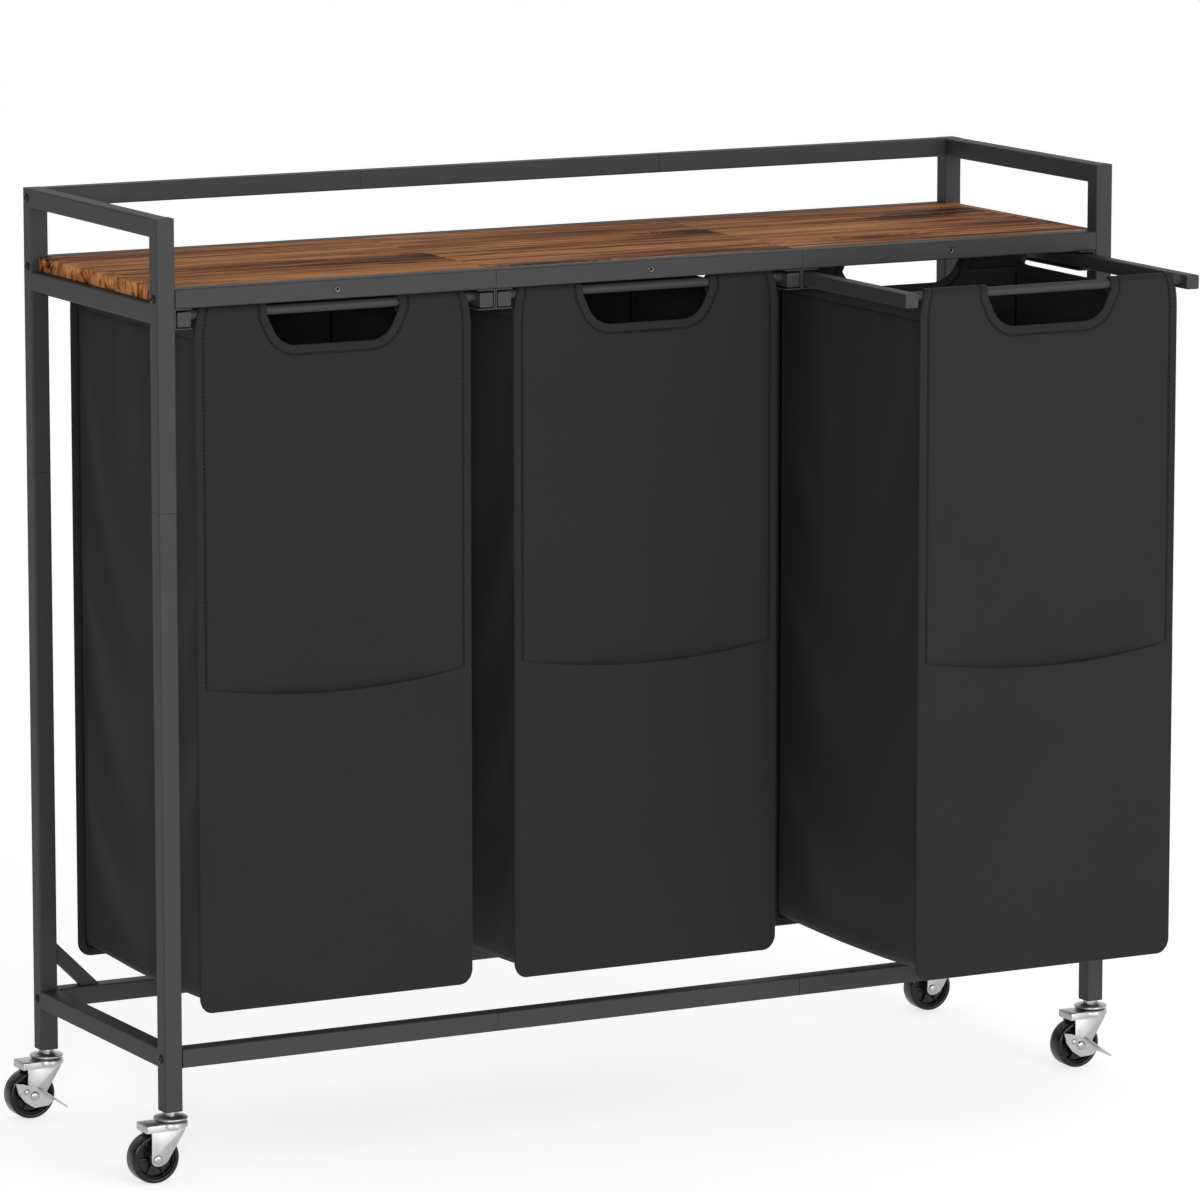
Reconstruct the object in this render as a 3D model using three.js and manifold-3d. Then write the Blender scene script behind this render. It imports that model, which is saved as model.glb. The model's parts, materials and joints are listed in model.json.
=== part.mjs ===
// Laundry cart: a two-bay-high steel tube frame on four swivel casters, a three-board shelf, and
// three fabric bags that pull out to the front on sliding tube frames.
// Millimetres, +Z up, the bags pull out towards -Y, floor at Z = 0.
import * as THREE from "three";
import { mergeVertices } from "three/addons/utils/BufferGeometryUtils.js";
import Module from "manifold-3d";

// Overall sizes
const WIDTH = 1130;
const DEPTH = 339;
const POST_LENGTH = 922;
const BAYS = 3;
const GAP = 0.3;

// Frame tube
const TUBE = 20;
const TUBE_WALL = 1.2;
const TUBE_CORNER = 2;
const SPIGOT_LENGTH = 25;
const SPIGOT_WALL = 1.6;
const SHOULDER = 1.5;
const UPPER_FRAME_HEIGHT = 300;
const SIDE_SHELF_RAIL_DROP = 87;
const LOWER_RAIL_RISE = 45;

// Shelf
const BOARD_THICKNESS = 15;
const BOARD_EDGE_INSET = 9;
const BOARD_CORNER = 1.5;
const SCREW_SHANK_R = 2;
const SCREW_HEAD_R = 3.3;
const SCREW_HEAD_DEPTH = 3;
const SCREW_LENGTH = 33;
const SCREW_RECESS = 0.2;
const SCREW_CLEARANCE = 0.4;

// Corner braces at the rear
const BRACE_DEPTH = 10;
const BRACE_SETBACK = 5;
const BRACE_INNER_RUN = 29;
const BRACE_OUTER_RUN = 50;

// Bag slides
const SLIDE_TUBE = 15;
const SLIDE_WALL = 1.2;
const SLIDE_CORNER = 1.5;
const SLIDE_FRONT_SETBACK = 2;
const SLIDE_REAR_SETBACK = 9;
const SLIDE_TOP_DROP = 4;
const SLIDE_SIDE_MARGIN = 3;
const CHANNEL_WALL = 1.5;
const CHANNEL_FLOOR_PLAY = 1.3;
const CHANNEL_LIP = 1.8;
const CHANNEL_SETBACK = 2;
const ROD_R = 5;
const PULLED_OUT = [0, 0, 212];

// Bag fabric
const BAG_SIDE_CLEARANCE = 7;
const BAG_FRONT_SETBACK = 9;
const BAG_REAR_SETBACK = 16;
const BAG_FLOOR_CLEARANCE = 97.5;
const PANEL_THICKNESS = 3;
const PANEL_BOTTOM_R = 15;
const PANEL_TOP_R = 22;
const GUSSET_INSET = 9.5;
const GUSSET_THICKNESS = 2.5;
const GUSSET_CORNER_R = 10;
const GUSSET_TOP_DROP = 9;
const GUSSET_RISE = 12;
const GUSSET_RISE_RUN = 26;
const SLEEVE_WALL = 2.5;
const HANDLE_TOP_WIDTH = 150;
const HANDLE_BOTTOM_WIDTH = 118;
const HANDLE_DROP = 32;
const HANDLE_CORNER_R = 25;
const POCKET_HEIGHT = 338;
const POCKET_SAG = 12;
const POCKET_THICKNESS = 1.8;
const POCKET_BULGE = 7;
const POCKET_CORNER_R = 8;

// Casters
const WHEEL_R = 26;
const WHEEL_WIDTH = 20;
const WHEEL_RIM_R = 20.4;
const WHEEL_HUB_R = 7;
const WHEEL_WEB = 3;
const WHEEL_EDGE = 1.5;
const WHEEL_SPOKES = 6;
const SPOKE_THICKNESS = 2;
const SPOKE_WIDTH = 15;
const CASTER_TRAIL = 20.5;
const AXLE_R = 3;
const AXLE_HEAD_R = 5;
const AXLE_HEAD = 1.5;
const WHEEL_SIDE_CLEARANCE = 1.5;
const WHEEL_TOP_CLEARANCE = 5;
const FORK_WALL = 2;
const FORK_HEAD_R = 18;
const FORK_HEAD_HEIGHT = 6.7;
const FORK_HEAD_DISH = 3;
const FORK_PLATE_REACH = 33;
const FORK_PLATE_FRONT = 14;
const FORK_FOOT_R = 7.6;
const CUP_RIM = 2;
const CUP_HEIGHT = 5;
const NECK_LENGTH = 4;
const NECK_R = 8;
const PIVOT_R = 4;
const PIVOT_HEAD_R = 6;
const PIVOT_HEAD = 1;
const PLUG_LENGTH = 25;
// Brake lever outline, measured from the axle
const LEVER_LEAF = [
  [-21.5, 15.5],
  [-19, 4.5],
  [-11.5, -5.5],
  [-0.5, -13],
  [15.5, -12],
  [23.5, -5.7],
  [7.1, 6.7],
  [-13.5, 14],
];
const LEVER_BEND_X = 7.1;
const LEVER_BEND_RISE = 6;
const LEVER_SLOPE = 0.75;
const LEVER_THICKNESS = 1.5;
const LEVER_FLANGE = 7;
const LEVER_PEDAL_REACH = 12;
const LEVER_PEDAL_LENGTH = 9;
const RUNNING = 0.3;
const TURNED_SIDES = 28;

// Derived sizes
const wasm = await Module();
wasm.setup();
const FRONT = -DEPTH / 2;
const REAR = DEPTH / 2;
const AXLE_Z = WHEEL_R;
const FORK_HEAD_BOTTOM = 2 * WHEEL_R + WHEEL_TOP_CLEARANCE;
const FORK_HEAD_TOP = FORK_HEAD_BOTTOM + FORK_HEAD_HEIGHT;
const FORK_PLATE_BOTTOM = FORK_HEAD_BOTTOM + FORK_HEAD_DISH;
const FORK_PLATE_TOP = FORK_PLATE_BOTTOM + FORK_WALL;
const CUP_BOTTOM = FORK_HEAD_TOP + GAP;
const CUP_TOP = CUP_BOTTOM + CUP_HEIGHT;
const POST_BOTTOM = CUP_TOP + NECK_LENGTH;
const TOP = POST_BOTTOM + POST_LENGTH;
const SEAM_Z = TOP - UPPER_FRAME_HEIGHT;
const SIDE_SHELF_Z = TOP - SIDE_SHELF_RAIL_DROP;
const LONG_SHELF_TOP = SIDE_SHELF_Z + BOARD_THICKNESS;
const LOWER_RAIL_Z = POST_BOTTOM + LOWER_RAIL_RISE;
const POST_X = WIDTH / 2 - TUBE / 2;
const POST_Y = DEPTH / 2 - TUBE / 2;
const INSIDE_X = WIDTH / 2 - TUBE;
const BAY_WIDTH = (2 * INSIDE_X) / BAYS;
const CHANNEL_TOP = LONG_SHELF_TOP - TUBE - GAP;
const CHANNEL_WIDTH = SLIDE_SIDE_MARGIN - GAP + SLIDE_TUBE + CHANNEL_LIP;
const SLIDE_TOP = LONG_SHELF_TOP - TUBE - SLIDE_TOP_DROP;
const CHANNEL_BOTTOM = SLIDE_TOP - SLIDE_TUBE - CHANNEL_FLOOR_PLAY - CHANNEL_WALL;
const ROD_Z = SLIDE_TOP - ROD_R;
const SLEEVE_R = ROD_R + GAP + SLEEVE_WALL;
const PANEL_HALF = BAY_WIDTH / 2 - SLIDE_SIDE_MARGIN - SLIDE_TUBE - BAG_SIDE_CLEARANCE;
const PANEL_FRONT = FRONT + BAG_FRONT_SETBACK;
const PANEL_REAR = REAR - BAG_REAR_SETBACK;
const PANEL_BOTTOM = POST_BOTTOM + BAG_FLOOR_CLEARANCE;
const PANEL_TOP = ROD_Z + SLEEVE_R;
const ROD_FRONT_Y = PANEL_FRONT + SLEEVE_R;
const ROD_REAR_Y = PANEL_REAR - SLEEVE_R;
const FORK_OUTER = WHEEL_WIDTH / 2 + WHEEL_SIDE_CLEARANCE + FORK_WALL;
const LEVER_TIP_X = WHEEL_R + LEVER_PEDAL_LENGTH;

const PAINT = { color: 0x333436, metalness: 0.3, roughness: 0.55 };
const WOOD = { color: 0x8a6a4c, metalness: 0, roughness: 0.7 };
const CLOTH = { color: 0x2b2c2e, metalness: 0, roughness: 0.95 };
const ZINC = { color: 0xc9cbcc, metalness: 0.9, roughness: 0.3 };
const WHEEL = { color: 0x111214, metalness: 0, roughness: 0.3 };

const cart = new THREE.Group();
cart.name = "laundry_cart";

function add(name, geometry, look) {
  const mesh = new THREE.Mesh(geometry, new THREE.MeshStandardMaterial(look));
  mesh.name = name;
  cart.add(mesh);
}

// Shapes and prisms
function roundedRect(cu, cv, width, height, radii, steps = 3) {
  const [r00, r10, r11, r01] = Array.isArray(radii) ? radii : [radii, radii, radii, radii];
  const corners = [
    [cu + width / 2, cv - height / 2, r10, -Math.PI / 2, -1, 1],
    [cu + width / 2, cv + height / 2, r11, 0, -1, -1],
    [cu - width / 2, cv + height / 2, r01, Math.PI / 2, 1, -1],
    [cu - width / 2, cv - height / 2, r00, Math.PI, 1, 1],
  ];
  const points = [];
  for (const [u, v, r, start, su, sv] of corners) {
    if (r <= 0) {
      points.push(new THREE.Vector2(u, v));
      continue;
    }
    for (let i = 0; i <= steps; i++) {
      const a = start + (i / steps) * (Math.PI / 2);
      points.push(new THREE.Vector2(u + su * r + r * Math.cos(a), v + sv * r + r * Math.sin(a)));
    }
  }
  return new THREE.Shape(points);
}

function polygon(points) {
  return new THREE.Shape(points.map(([u, v]) => new THREE.Vector2(u, v)));
}

// Extrudes a shape along an axis: shape (x, y) along z, (x, z) along y, (y, z) along x.
function prism(shape, axis, from, to) {
  const g = new THREE.ExtrudeGeometry(shape, { depth: to - from, bevelEnabled: false, curveSegments: 4 });
  if (axis === "z") return g.translate(0, 0, from);
  if (axis === "y") return g.rotateX(Math.PI / 2).translate(0, to, 0);
  const turn = new THREE.Matrix4().makeBasis(
    new THREE.Vector3(0, 1, 0),
    new THREE.Vector3(0, 0, 1),
    new THREE.Vector3(1, 0, 0),
  );
  return g.applyMatrix4(turn).translate(from, 0, 0);
}

function bar(axis, from, to, cu, cv, size, corner) {
  return prism(roundedRect(cu, cv, size, size, corner), axis, from, to);
}

function rod(axis, from, to, cu, cv, r, sides = 20) {
  const points = [];
  for (let i = 0; i < sides; i++) {
    const a = (i / sides) * 2 * Math.PI;
    points.push([cu + r * Math.cos(a), cv + r * Math.sin(a)]);
  }
  return prism(polygon(points), axis, from, to);
}

// Turns a closed profile of [radius, height] points about the Z or Y axis.
function turned(profile, axis, sides = TURNED_SIDES) {
  const points = profile.map(([r, h]) => new THREE.Vector2(r, h));
  const g = new THREE.LatheGeometry(points, sides);
  return axis === "z" ? g.rotateX(Math.PI / 2) : g;
}

// Joining and cutting
function closed(geometry) {
  const bare = new THREE.BufferGeometry();
  bare.setAttribute("position", geometry.getAttribute("position").clone());
  if (geometry.index) bare.setIndex(geometry.index.clone());
  const welded = mergeVertices(bare, 1e-4);
  const pos = welded.getAttribute("position");
  const kept = [];
  let volume = 0;
  const [a, b, c] = [new THREE.Vector3(), new THREE.Vector3(), new THREE.Vector3()];
  for (let i = 0; i < welded.index.count; i += 3) {
    const ids = [0, 1, 2].map((k) => welded.index.getX(i + k));
    if (new Set(ids).size < 3) continue;
    a.fromBufferAttribute(pos, ids[0]);
    b.fromBufferAttribute(pos, ids[1]);
    c.fromBufferAttribute(pos, ids[2]);
    volume += a.dot(b.clone().cross(c));
    kept.push(ids);
  }
  const triangles = volume < 0 ? kept.map(([p, q, r]) => [p, r, q]) : kept;
  const mesh = new wasm.Mesh({
    numProp: 3,
    vertProperties: new Float32Array(pos.array),
    triVerts: new Uint32Array(triangles.flat()),
  });
  return new wasm.Manifold(mesh);
}

function solid(keep, cut = []) {
  let result = closed(keep[0]);
  for (const g of keep.slice(1)) result = result.add(closed(g));
  for (const g of cut) result = result.subtract(closed(g));
  const mesh = result.getMesh();
  const g = new THREE.BufferGeometry();
  g.setAttribute("position", new THREE.BufferAttribute(new Float32Array(mesh.vertProperties), 3));
  g.setIndex(new THREE.BufferAttribute(new Uint32Array(mesh.triVerts), 1));
  g.computeVertexNormals();
  return g;
}

function overlap(g, other) {
  const mesh = closed(g).intersect(closed(other)).getMesh();
  const out = new THREE.BufferGeometry();
  out.setAttribute("position", new THREE.BufferAttribute(new Float32Array(mesh.vertProperties), 3));
  out.setIndex(new THREE.BufferAttribute(new Uint32Array(mesh.triVerts), 1));
  return out;
}

const HOLLOW = TUBE - 2 * TUBE_WALL;
const SPIGOT = HOLLOW - 2 * GAP;
const SPIGOT_BORE = SPIGOT - 2 * SPIGOT_WALL;

// Side frames: the upper one is two posts joined by the top rail and the shelf rail.
for (const [side, x] of [["left", -POST_X], ["right", POST_X]]) {
  const topRailZ = TOP - TUBE / 2;
  const shelfRailZ = SIDE_SHELF_Z - TUBE / 2;
  const outer = [];
  const inner = [];
  for (const y of [-POST_Y, POST_Y]) {
    outer.push(bar("z", SEAM_Z + GAP / 2, TOP, x, y, TUBE, TUBE_CORNER));
    inner.push(bar("z", SEAM_Z - GAP, TOP - TUBE_WALL, x, y, HOLLOW, 0));
  }
  for (const z of [topRailZ, shelfRailZ]) {
    outer.push(prism(roundedRect(x, z, TUBE, TUBE, TUBE_CORNER), "y", -POST_Y, POST_Y));
    inner.push(prism(roundedRect(x, z, HOLLOW, HOLLOW, 0), "y", -POST_Y, POST_Y));
  }
  add(`side_frame_upper_${side}`, solid(outer, inner), PAINT);

  // The lower one ends in spigots that plug into the upper posts.
  const lowerOuter = [];
  const lowerInner = [];
  for (const y of [-POST_Y, POST_Y]) {
    lowerOuter.push(bar("z", POST_BOTTOM, SEAM_Z - GAP / 2, x, y, TUBE, TUBE_CORNER));
    lowerOuter.push(bar("z", SEAM_Z - SHOULDER, SEAM_Z + SPIGOT_LENGTH, x, y, SPIGOT, 0));
    lowerInner.push(bar("z", POST_BOTTOM - GAP, SEAM_Z - SHOULDER, x, y, HOLLOW, 0));
    lowerInner.push(bar("z", SEAM_Z - 2 * SHOULDER, SEAM_Z + SPIGOT_LENGTH + GAP, x, y, SPIGOT_BORE, 0));
  }
  const lowerRailZ = LOWER_RAIL_Z + TUBE / 2;
  lowerOuter.push(prism(roundedRect(x, lowerRailZ, TUBE, TUBE, TUBE_CORNER), "y", -POST_Y, POST_Y));
  lowerInner.push(prism(roundedRect(x, lowerRailZ, HOLLOW, HOLLOW, 0), "y", -POST_Y, POST_Y));
  add(`side_frame_lower_${side}`, solid(lowerOuter, lowerInner), PAINT);
}

// Long rails, each in three lengths; the middle length plugs into its neighbours.
const SEAM_X = BAY_WIDTH / 2;
const bayCentre = (bay) => (bay - (BAYS - 1) / 2) * BAY_WIDTH;

function railPiece(y, z, part) {
  const tube = (from, to, size, corner) => prism(roundedRect(y, z, size, size, corner), "x", from, to);
  if (part === "middle") {
    const end = SEAM_X - GAP / 2;
    const reach = SEAM_X + SPIGOT_LENGTH;
    return solid(
      [tube(-end, end, TUBE, TUBE_CORNER), tube(-reach, reach, SPIGOT, 0)],
      [
        tube(-end + SHOULDER, end - SHOULDER, HOLLOW, 0),
        tube(-reach - GAP, reach + GAP, SPIGOT_BORE, 0),
      ],
    );
  }
  const sign = part === "left" ? -1 : 1;
  const ends = [sign * (SEAM_X + GAP / 2), sign * (INSIDE_X - GAP)].sort((a, b) => a - b);
  return solid(
    [tube(ends[0], ends[1], TUBE, TUBE_CORNER)],
    [tube(ends[0] - GAP, ends[1] + GAP, HOLLOW, 0)],
  );
}

const screwZ = LONG_SHELF_TOP - TUBE / 2;

function screwHole(x) {
  const r = SCREW_SHANK_R + SCREW_CLEARANCE;
  const head = SCREW_HEAD_R + SCREW_CLEARANCE;
  const profile = [
    [0, FRONT - GAP],
    [head, FRONT - GAP],
    [head, FRONT + SCREW_RECESS + GAP],
    [r, FRONT + SCREW_RECESS + GAP + SCREW_HEAD_DEPTH],
    [r, FRONT + SCREW_LENGTH + GAP],
    [0, FRONT + SCREW_LENGTH + GAP],
  ];
  return turned(profile, "y", 24).translate(x, 0, screwZ);
}

const RAILS = [
  ["top_rear", POST_Y, TOP - TUBE / 2, false],
  ["shelf_front", -POST_Y, LONG_SHELF_TOP - TUBE / 2, true],
  ["shelf_rear", POST_Y, LONG_SHELF_TOP - TUBE / 2, false],
  ["lower_front", -POST_Y, LOWER_RAIL_Z + TUBE / 2, false],
  ["lower_rear", POST_Y, LOWER_RAIL_Z + TUBE / 2, false],
];
for (const [label, y, z, screwed] of RAILS) {
  ["left", "middle", "right"].forEach((part, bay) => {
    const piece = railPiece(y, z, part);
    const finished = screwed ? solid([piece], [screwHole(bayCentre(bay))]) : piece;
    add(`rail_${label}_${part}`, finished, PAINT);
  });
}

// Shelf boards and the screws that hold them to the front rail
for (let bay = 0; bay < BAYS; bay++) {
  const x = bayCentre(bay);
  const outerEdge = WIDTH / 2 - BOARD_EDGE_INSET;
  const left = bay === 0 ? -outerEdge : x - BAY_WIDTH / 2 + GAP / 2;
  const right = bay === BAYS - 1 ? outerEdge : x + BAY_WIDTH / 2 - GAP / 2;
  const half = REAR - TUBE - GAP;
  const bottom = SIDE_SHELF_Z + GAP;
  const thick = LONG_SHELF_TOP - bottom;
  const section = roundedRect(0, bottom + thick / 2, 2 * half, thick, BOARD_CORNER);
  add(`shelf_board_${bay + 1}`, solid([prism(section, "x", left, right)], [screwHole(x)]), WOOD);

  const start = FRONT + SCREW_RECESS;
  const screw = turned(
    [
      [0, start],
      [SCREW_HEAD_R, start],
      [SCREW_SHANK_R, start + SCREW_HEAD_DEPTH],
      [SCREW_SHANK_R, FRONT + SCREW_LENGTH - SCREW_SHANK_R],
      [0, FRONT + SCREW_LENGTH],
    ],
    "y",
    24,
  ).translate(x, 0, screwZ);
  add(`shelf_screw_${bay + 1}`, solid([screw]), ZINC);
}

// Rear corner braces
for (const [side, sign] of [["left", -1], ["right", 1]]) {
  const x = (run) => sign * (INSIDE_X - GAP - run);
  const foot = LOWER_RAIL_Z + TUBE + GAP;
  const points = [
    [x(0), foot + BRACE_INNER_RUN],
    [x(0), foot + BRACE_OUTER_RUN],
    [x(BRACE_OUTER_RUN), foot],
    [x(BRACE_INNER_RUN), foot],
  ];
  const g = prism(polygon(points), "y", REAR - BRACE_SETBACK - BRACE_DEPTH, REAR - BRACE_SETBACK);
  add(`corner_brace_${side}`, solid([g]), PAINT);
}

// Slide channels: folded sheet, open towards the bag
for (let bay = 0; bay < BAYS; bay++) {
  for (const [side, sign] of [["left", -1], ["right", 1]]) {
    const u = (inset) => bayCentre(bay) + sign * (BAY_WIDTH / 2 - GAP - inset);
    const low = CHANNEL_BOTTOM;
    const points = [
      [u(0), low],
      [u(CHANNEL_WIDTH), low],
      [u(CHANNEL_WIDTH), low + CHANNEL_WALL],
      [u(CHANNEL_WALL), low + CHANNEL_WALL],
      [u(CHANNEL_WALL), CHANNEL_TOP - CHANNEL_WALL],
      [u(CHANNEL_WIDTH), CHANNEL_TOP - CHANNEL_WALL],
      [u(CHANNEL_WIDTH), CHANNEL_TOP],
      [u(0), CHANNEL_TOP],
    ];
    const g = prism(polygon(points), "y", FRONT + CHANNEL_SETBACK, REAR - CHANNEL_SETBACK);
    add(`slide_channel_${bay + 1}_${side}`, solid([g]), PAINT);
  }
}

// Bag: two stiff panels and a gusset between them, hung from two rods
function bagFabric(x) {
  const height = PANEL_TOP - PANEL_BOTTOM;
  const centre = (PANEL_TOP + PANEL_BOTTOM) / 2;
  const radii = [PANEL_BOTTOM_R, PANEL_BOTTOM_R, PANEL_TOP_R, PANEL_TOP_R];
  const outline = () => roundedRect(x, centre, 2 * PANEL_HALF, height, radii, 6);
  const panel = (from, to) => prism(outline(), "y", from, to);
  const keep = [];
  for (const [y, from, to] of [
    [ROD_FRONT_Y, PANEL_FRONT, PANEL_FRONT + PANEL_THICKNESS],
    [ROD_REAR_Y, PANEL_REAR - PANEL_THICKNESS, PANEL_REAR],
  ]) {
    keep.push(panel(from, to));
    const sleeve = rod("x", x - PANEL_HALF, x + PANEL_HALF, y, ROD_Z, SLEEVE_R, 24);
    keep.push(overlap(sleeve, panel(y - 2 * SLEEVE_R, y + 2 * SLEEVE_R)));
  }

  const half = PANEL_HALF - GUSSET_INSET;
  const low = PANEL_BOTTOM + GUSSET_INSET;
  const wall = GUSSET_THICKNESS;
  const ring = (inset, top) => {
    const r = GUSSET_CORNER_R - inset / 2;
    const span = top - low - inset;
    return roundedRect(x, low + inset + span / 2, 2 * (half - inset), span, [r, r, 0, 0], 5);
  };
  const front = PANEL_FRONT + PANEL_THICKNESS / 2;
  const back = PANEL_REAR - PANEL_THICKNESS / 2;
  const trough = prism(ring(0, PANEL_TOP), "y", front, back);
  const hollow = prism(ring(wall, PANEL_TOP + SLEEVE_R), "y", front - wall, back + wall);
  const rim = SLIDE_TOP - SLIDE_TUBE - GUSSET_TOP_DROP;
  const lift = [];
  const steps = 6;
  for (let i = 0; i <= steps; i++) {
    const k = i / steps;
    lift.push([k * GUSSET_RISE_RUN, GUSSET_RISE * (1 - k) ** 2]);
  }
  const above = [
    ...lift.map(([run, rise]) => [front + run, rim + rise]),
    ...lift.map(([run, rise]) => [back - run, rim + rise]).reverse(),
    [back, PANEL_TOP + SLEEVE_R],
    [front, PANEL_TOP + SLEEVE_R],
  ];
  const away = prism(polygon(above), "x", x - PANEL_HALF, x + PANEL_HALF);
  keep.push(solid([trough], [hollow, away]));

  const cut = [];
  for (const y of [ROD_FRONT_Y, ROD_REAR_Y]) {
    cut.push(rod("x", x - PANEL_HALF - GAP, x + PANEL_HALF + GAP, y, ROD_Z, ROD_R + GAP, 24));
    cut.push(prism(handleShape(x), "y", y - 2 * SLEEVE_R, y + 2 * SLEEVE_R));
  }
  return solid(keep, cut);
}

// Handle opening: a trapezium with round lower corners, open upwards past the rod
function handleShape(x) {
  const low = ROD_Z - ROD_R - HANDLE_DROP;
  const high = PANEL_TOP + SLEEVE_R;
  const slope = (HANDLE_TOP_WIDTH - HANDLE_BOTTOM_WIDTH) / 2 / (ROD_Z - low);
  const topHalf = HANDLE_BOTTOM_WIDTH / 2 + slope * (high - low);
  const tilt = Math.atan(slope);
  const r = HANDLE_CORNER_R;
  const cu = HANDLE_BOTTOM_WIDTH / 2 + slope * r - r / Math.cos(tilt);
  const points = [[topHalf, high]];
  const steps = 6;
  for (let i = 0; i <= steps; i++) {
    const a = -tilt - (i / steps) * (Math.PI / 2 - tilt);
    points.push([cu + r * Math.cos(a), low + r + r * Math.sin(a)]);
  }
  const mirrored = points.map(([u, v]) => [-u, v]).reverse();
  return polygon([...points, ...mirrored].map(([u, v]) => [x + u, v]).reverse());
}

// Pocket on the front panel: a thin sheet, sewn at the sides and bottom and standing off at the top
function pocketSheet(x) {
  const half = PANEL_HALF - GUSSET_INSET;
  const low = PANEL_BOTTOM + GUSSET_INSET;
  const high = PANEL_BOTTOM + POCKET_HEIGHT;
  const columns = 16;
  const rows = 5;
  const at = (i, j, front) => {
    const s = (2 * i) / columns - 1;
    const side = Math.abs(s) * half;
    const over = Math.max(0, side - (half - POCKET_CORNER_R));
    const base = low + POCKET_CORNER_R - Math.sqrt(POCKET_CORNER_R ** 2 - over ** 2);
    const lip = high - POCKET_SAG * (1 - s ** 4);
    const z = base + ((lip - base) * j) / rows;
    const off = POCKET_BULGE * (1 - s ** 2) * (j / rows) ** 1.5;
    return [x + s * half, PANEL_FRONT - GAP - off - (front ? POCKET_THICKNESS : 0), z];
  };
  const points = [];
  for (const front of [true, false]) {
    for (let j = 0; j <= rows; j++) {
      for (let i = 0; i <= columns; i++) points.push(...at(i, j, front));
    }
  }
  const id = (i, j, front) => (front ? 0 : (columns + 1) * (rows + 1)) + j * (columns + 1) + i;
  const faces = [];
  const quad = (a, b, c, d) => faces.push(a, b, c, a, c, d);
  for (let j = 0; j < rows; j++) {
    for (let i = 0; i < columns; i++) {
      quad(id(i, j, true), id(i + 1, j, true), id(i + 1, j + 1, true), id(i, j + 1, true));
      quad(id(i, j, false), id(i, j + 1, false), id(i + 1, j + 1, false), id(i + 1, j, false));
    }
    quad(id(0, j, true), id(0, j + 1, true), id(0, j + 1, false), id(0, j, false));
    quad(id(columns, j, true), id(columns, j, false), id(columns, j + 1, false), id(columns, j + 1, true));
  }
  for (let i = 0; i < columns; i++) {
    quad(id(i, 0, true), id(i, 0, false), id(i + 1, 0, false), id(i + 1, 0, true));
    quad(id(i, rows, true), id(i + 1, rows, true), id(i + 1, rows, false), id(i, rows, false));
  }
  const g = new THREE.BufferGeometry();
  g.setAttribute("position", new THREE.Float32BufferAttribute(points, 3));
  g.setIndex(faces);
  return solid([g]);
}

// Slide frame: two square tubes, closed at the front, joined by two round rods
function slideFrame(x) {
  const z = SLIDE_TOP - SLIDE_TUBE / 2;
  const from = FRONT + SLIDE_FRONT_SETBACK;
  const to = REAR - SLIDE_REAR_SETBACK;
  const offset = BAY_WIDTH / 2 - SLIDE_SIDE_MARGIN - SLIDE_TUBE / 2;
  const hole = SLIDE_TUBE - 2 * SLIDE_WALL;
  const keep = [];
  const cut = [];
  for (const u of [x - offset, x + offset]) {
    keep.push(prism(roundedRect(u, z, SLIDE_TUBE, SLIDE_TUBE, SLIDE_CORNER), "y", from, to));
    cut.push(prism(roundedRect(u, z, hole, hole, 0), "y", from + SLIDE_WALL, to + GAP));
  }
  const reach = offset - SLIDE_TUBE / 2 + SLIDE_WALL / 2;
  for (const y of [ROD_FRONT_Y, ROD_REAR_Y]) {
    keep.push(rod("x", x - reach, x + reach, y, ROD_Z, ROD_R));
  }
  return solid(keep, cut);
}

for (let bay = 0; bay < BAYS; bay++) {
  const x = bayCentre(bay);
  const out = -PULLED_OUT[bay];
  add(`bag_slide_frame_${bay + 1}`, slideFrame(x).translate(0, out, 0), PAINT);
  add(`bag_fabric_${bay + 1}`, bagFabric(x).translate(0, out, 0), CLOTH);
  add(`bag_pocket_${bay + 1}`, pocketSheet(x).translate(0, out, 0), CLOTH);
}

// Casters: the swivel axis is the post's centre line and the wheel trails towards -X
function casterStem() {
  const plug = HOLLOW - 2 * GAP;
  const profile = [
    [0, FORK_HEAD_BOTTOM - GAP - PIVOT_HEAD],
    [PIVOT_HEAD_R, FORK_HEAD_BOTTOM - GAP - PIVOT_HEAD],
    [PIVOT_HEAD_R, FORK_HEAD_BOTTOM - GAP],
    [PIVOT_R, FORK_HEAD_BOTTOM - GAP],
    [PIVOT_R, CUP_BOTTOM],
    [FORK_HEAD_R, CUP_BOTTOM],
    [FORK_HEAD_R, CUP_BOTTOM + CUP_RIM],
    [NECK_R + 2, CUP_TOP - 1],
    [NECK_R, CUP_TOP - 1],
    [NECK_R, POST_BOTTOM + 2],
    [0, POST_BOTTOM + 2],
  ];
  return solid([
    turned(profile, "z"),
    bar("z", POST_BOTTOM + 1, POST_BOTTOM + PLUG_LENGTH, 0, 0, plug, 0),
  ]);
}

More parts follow.
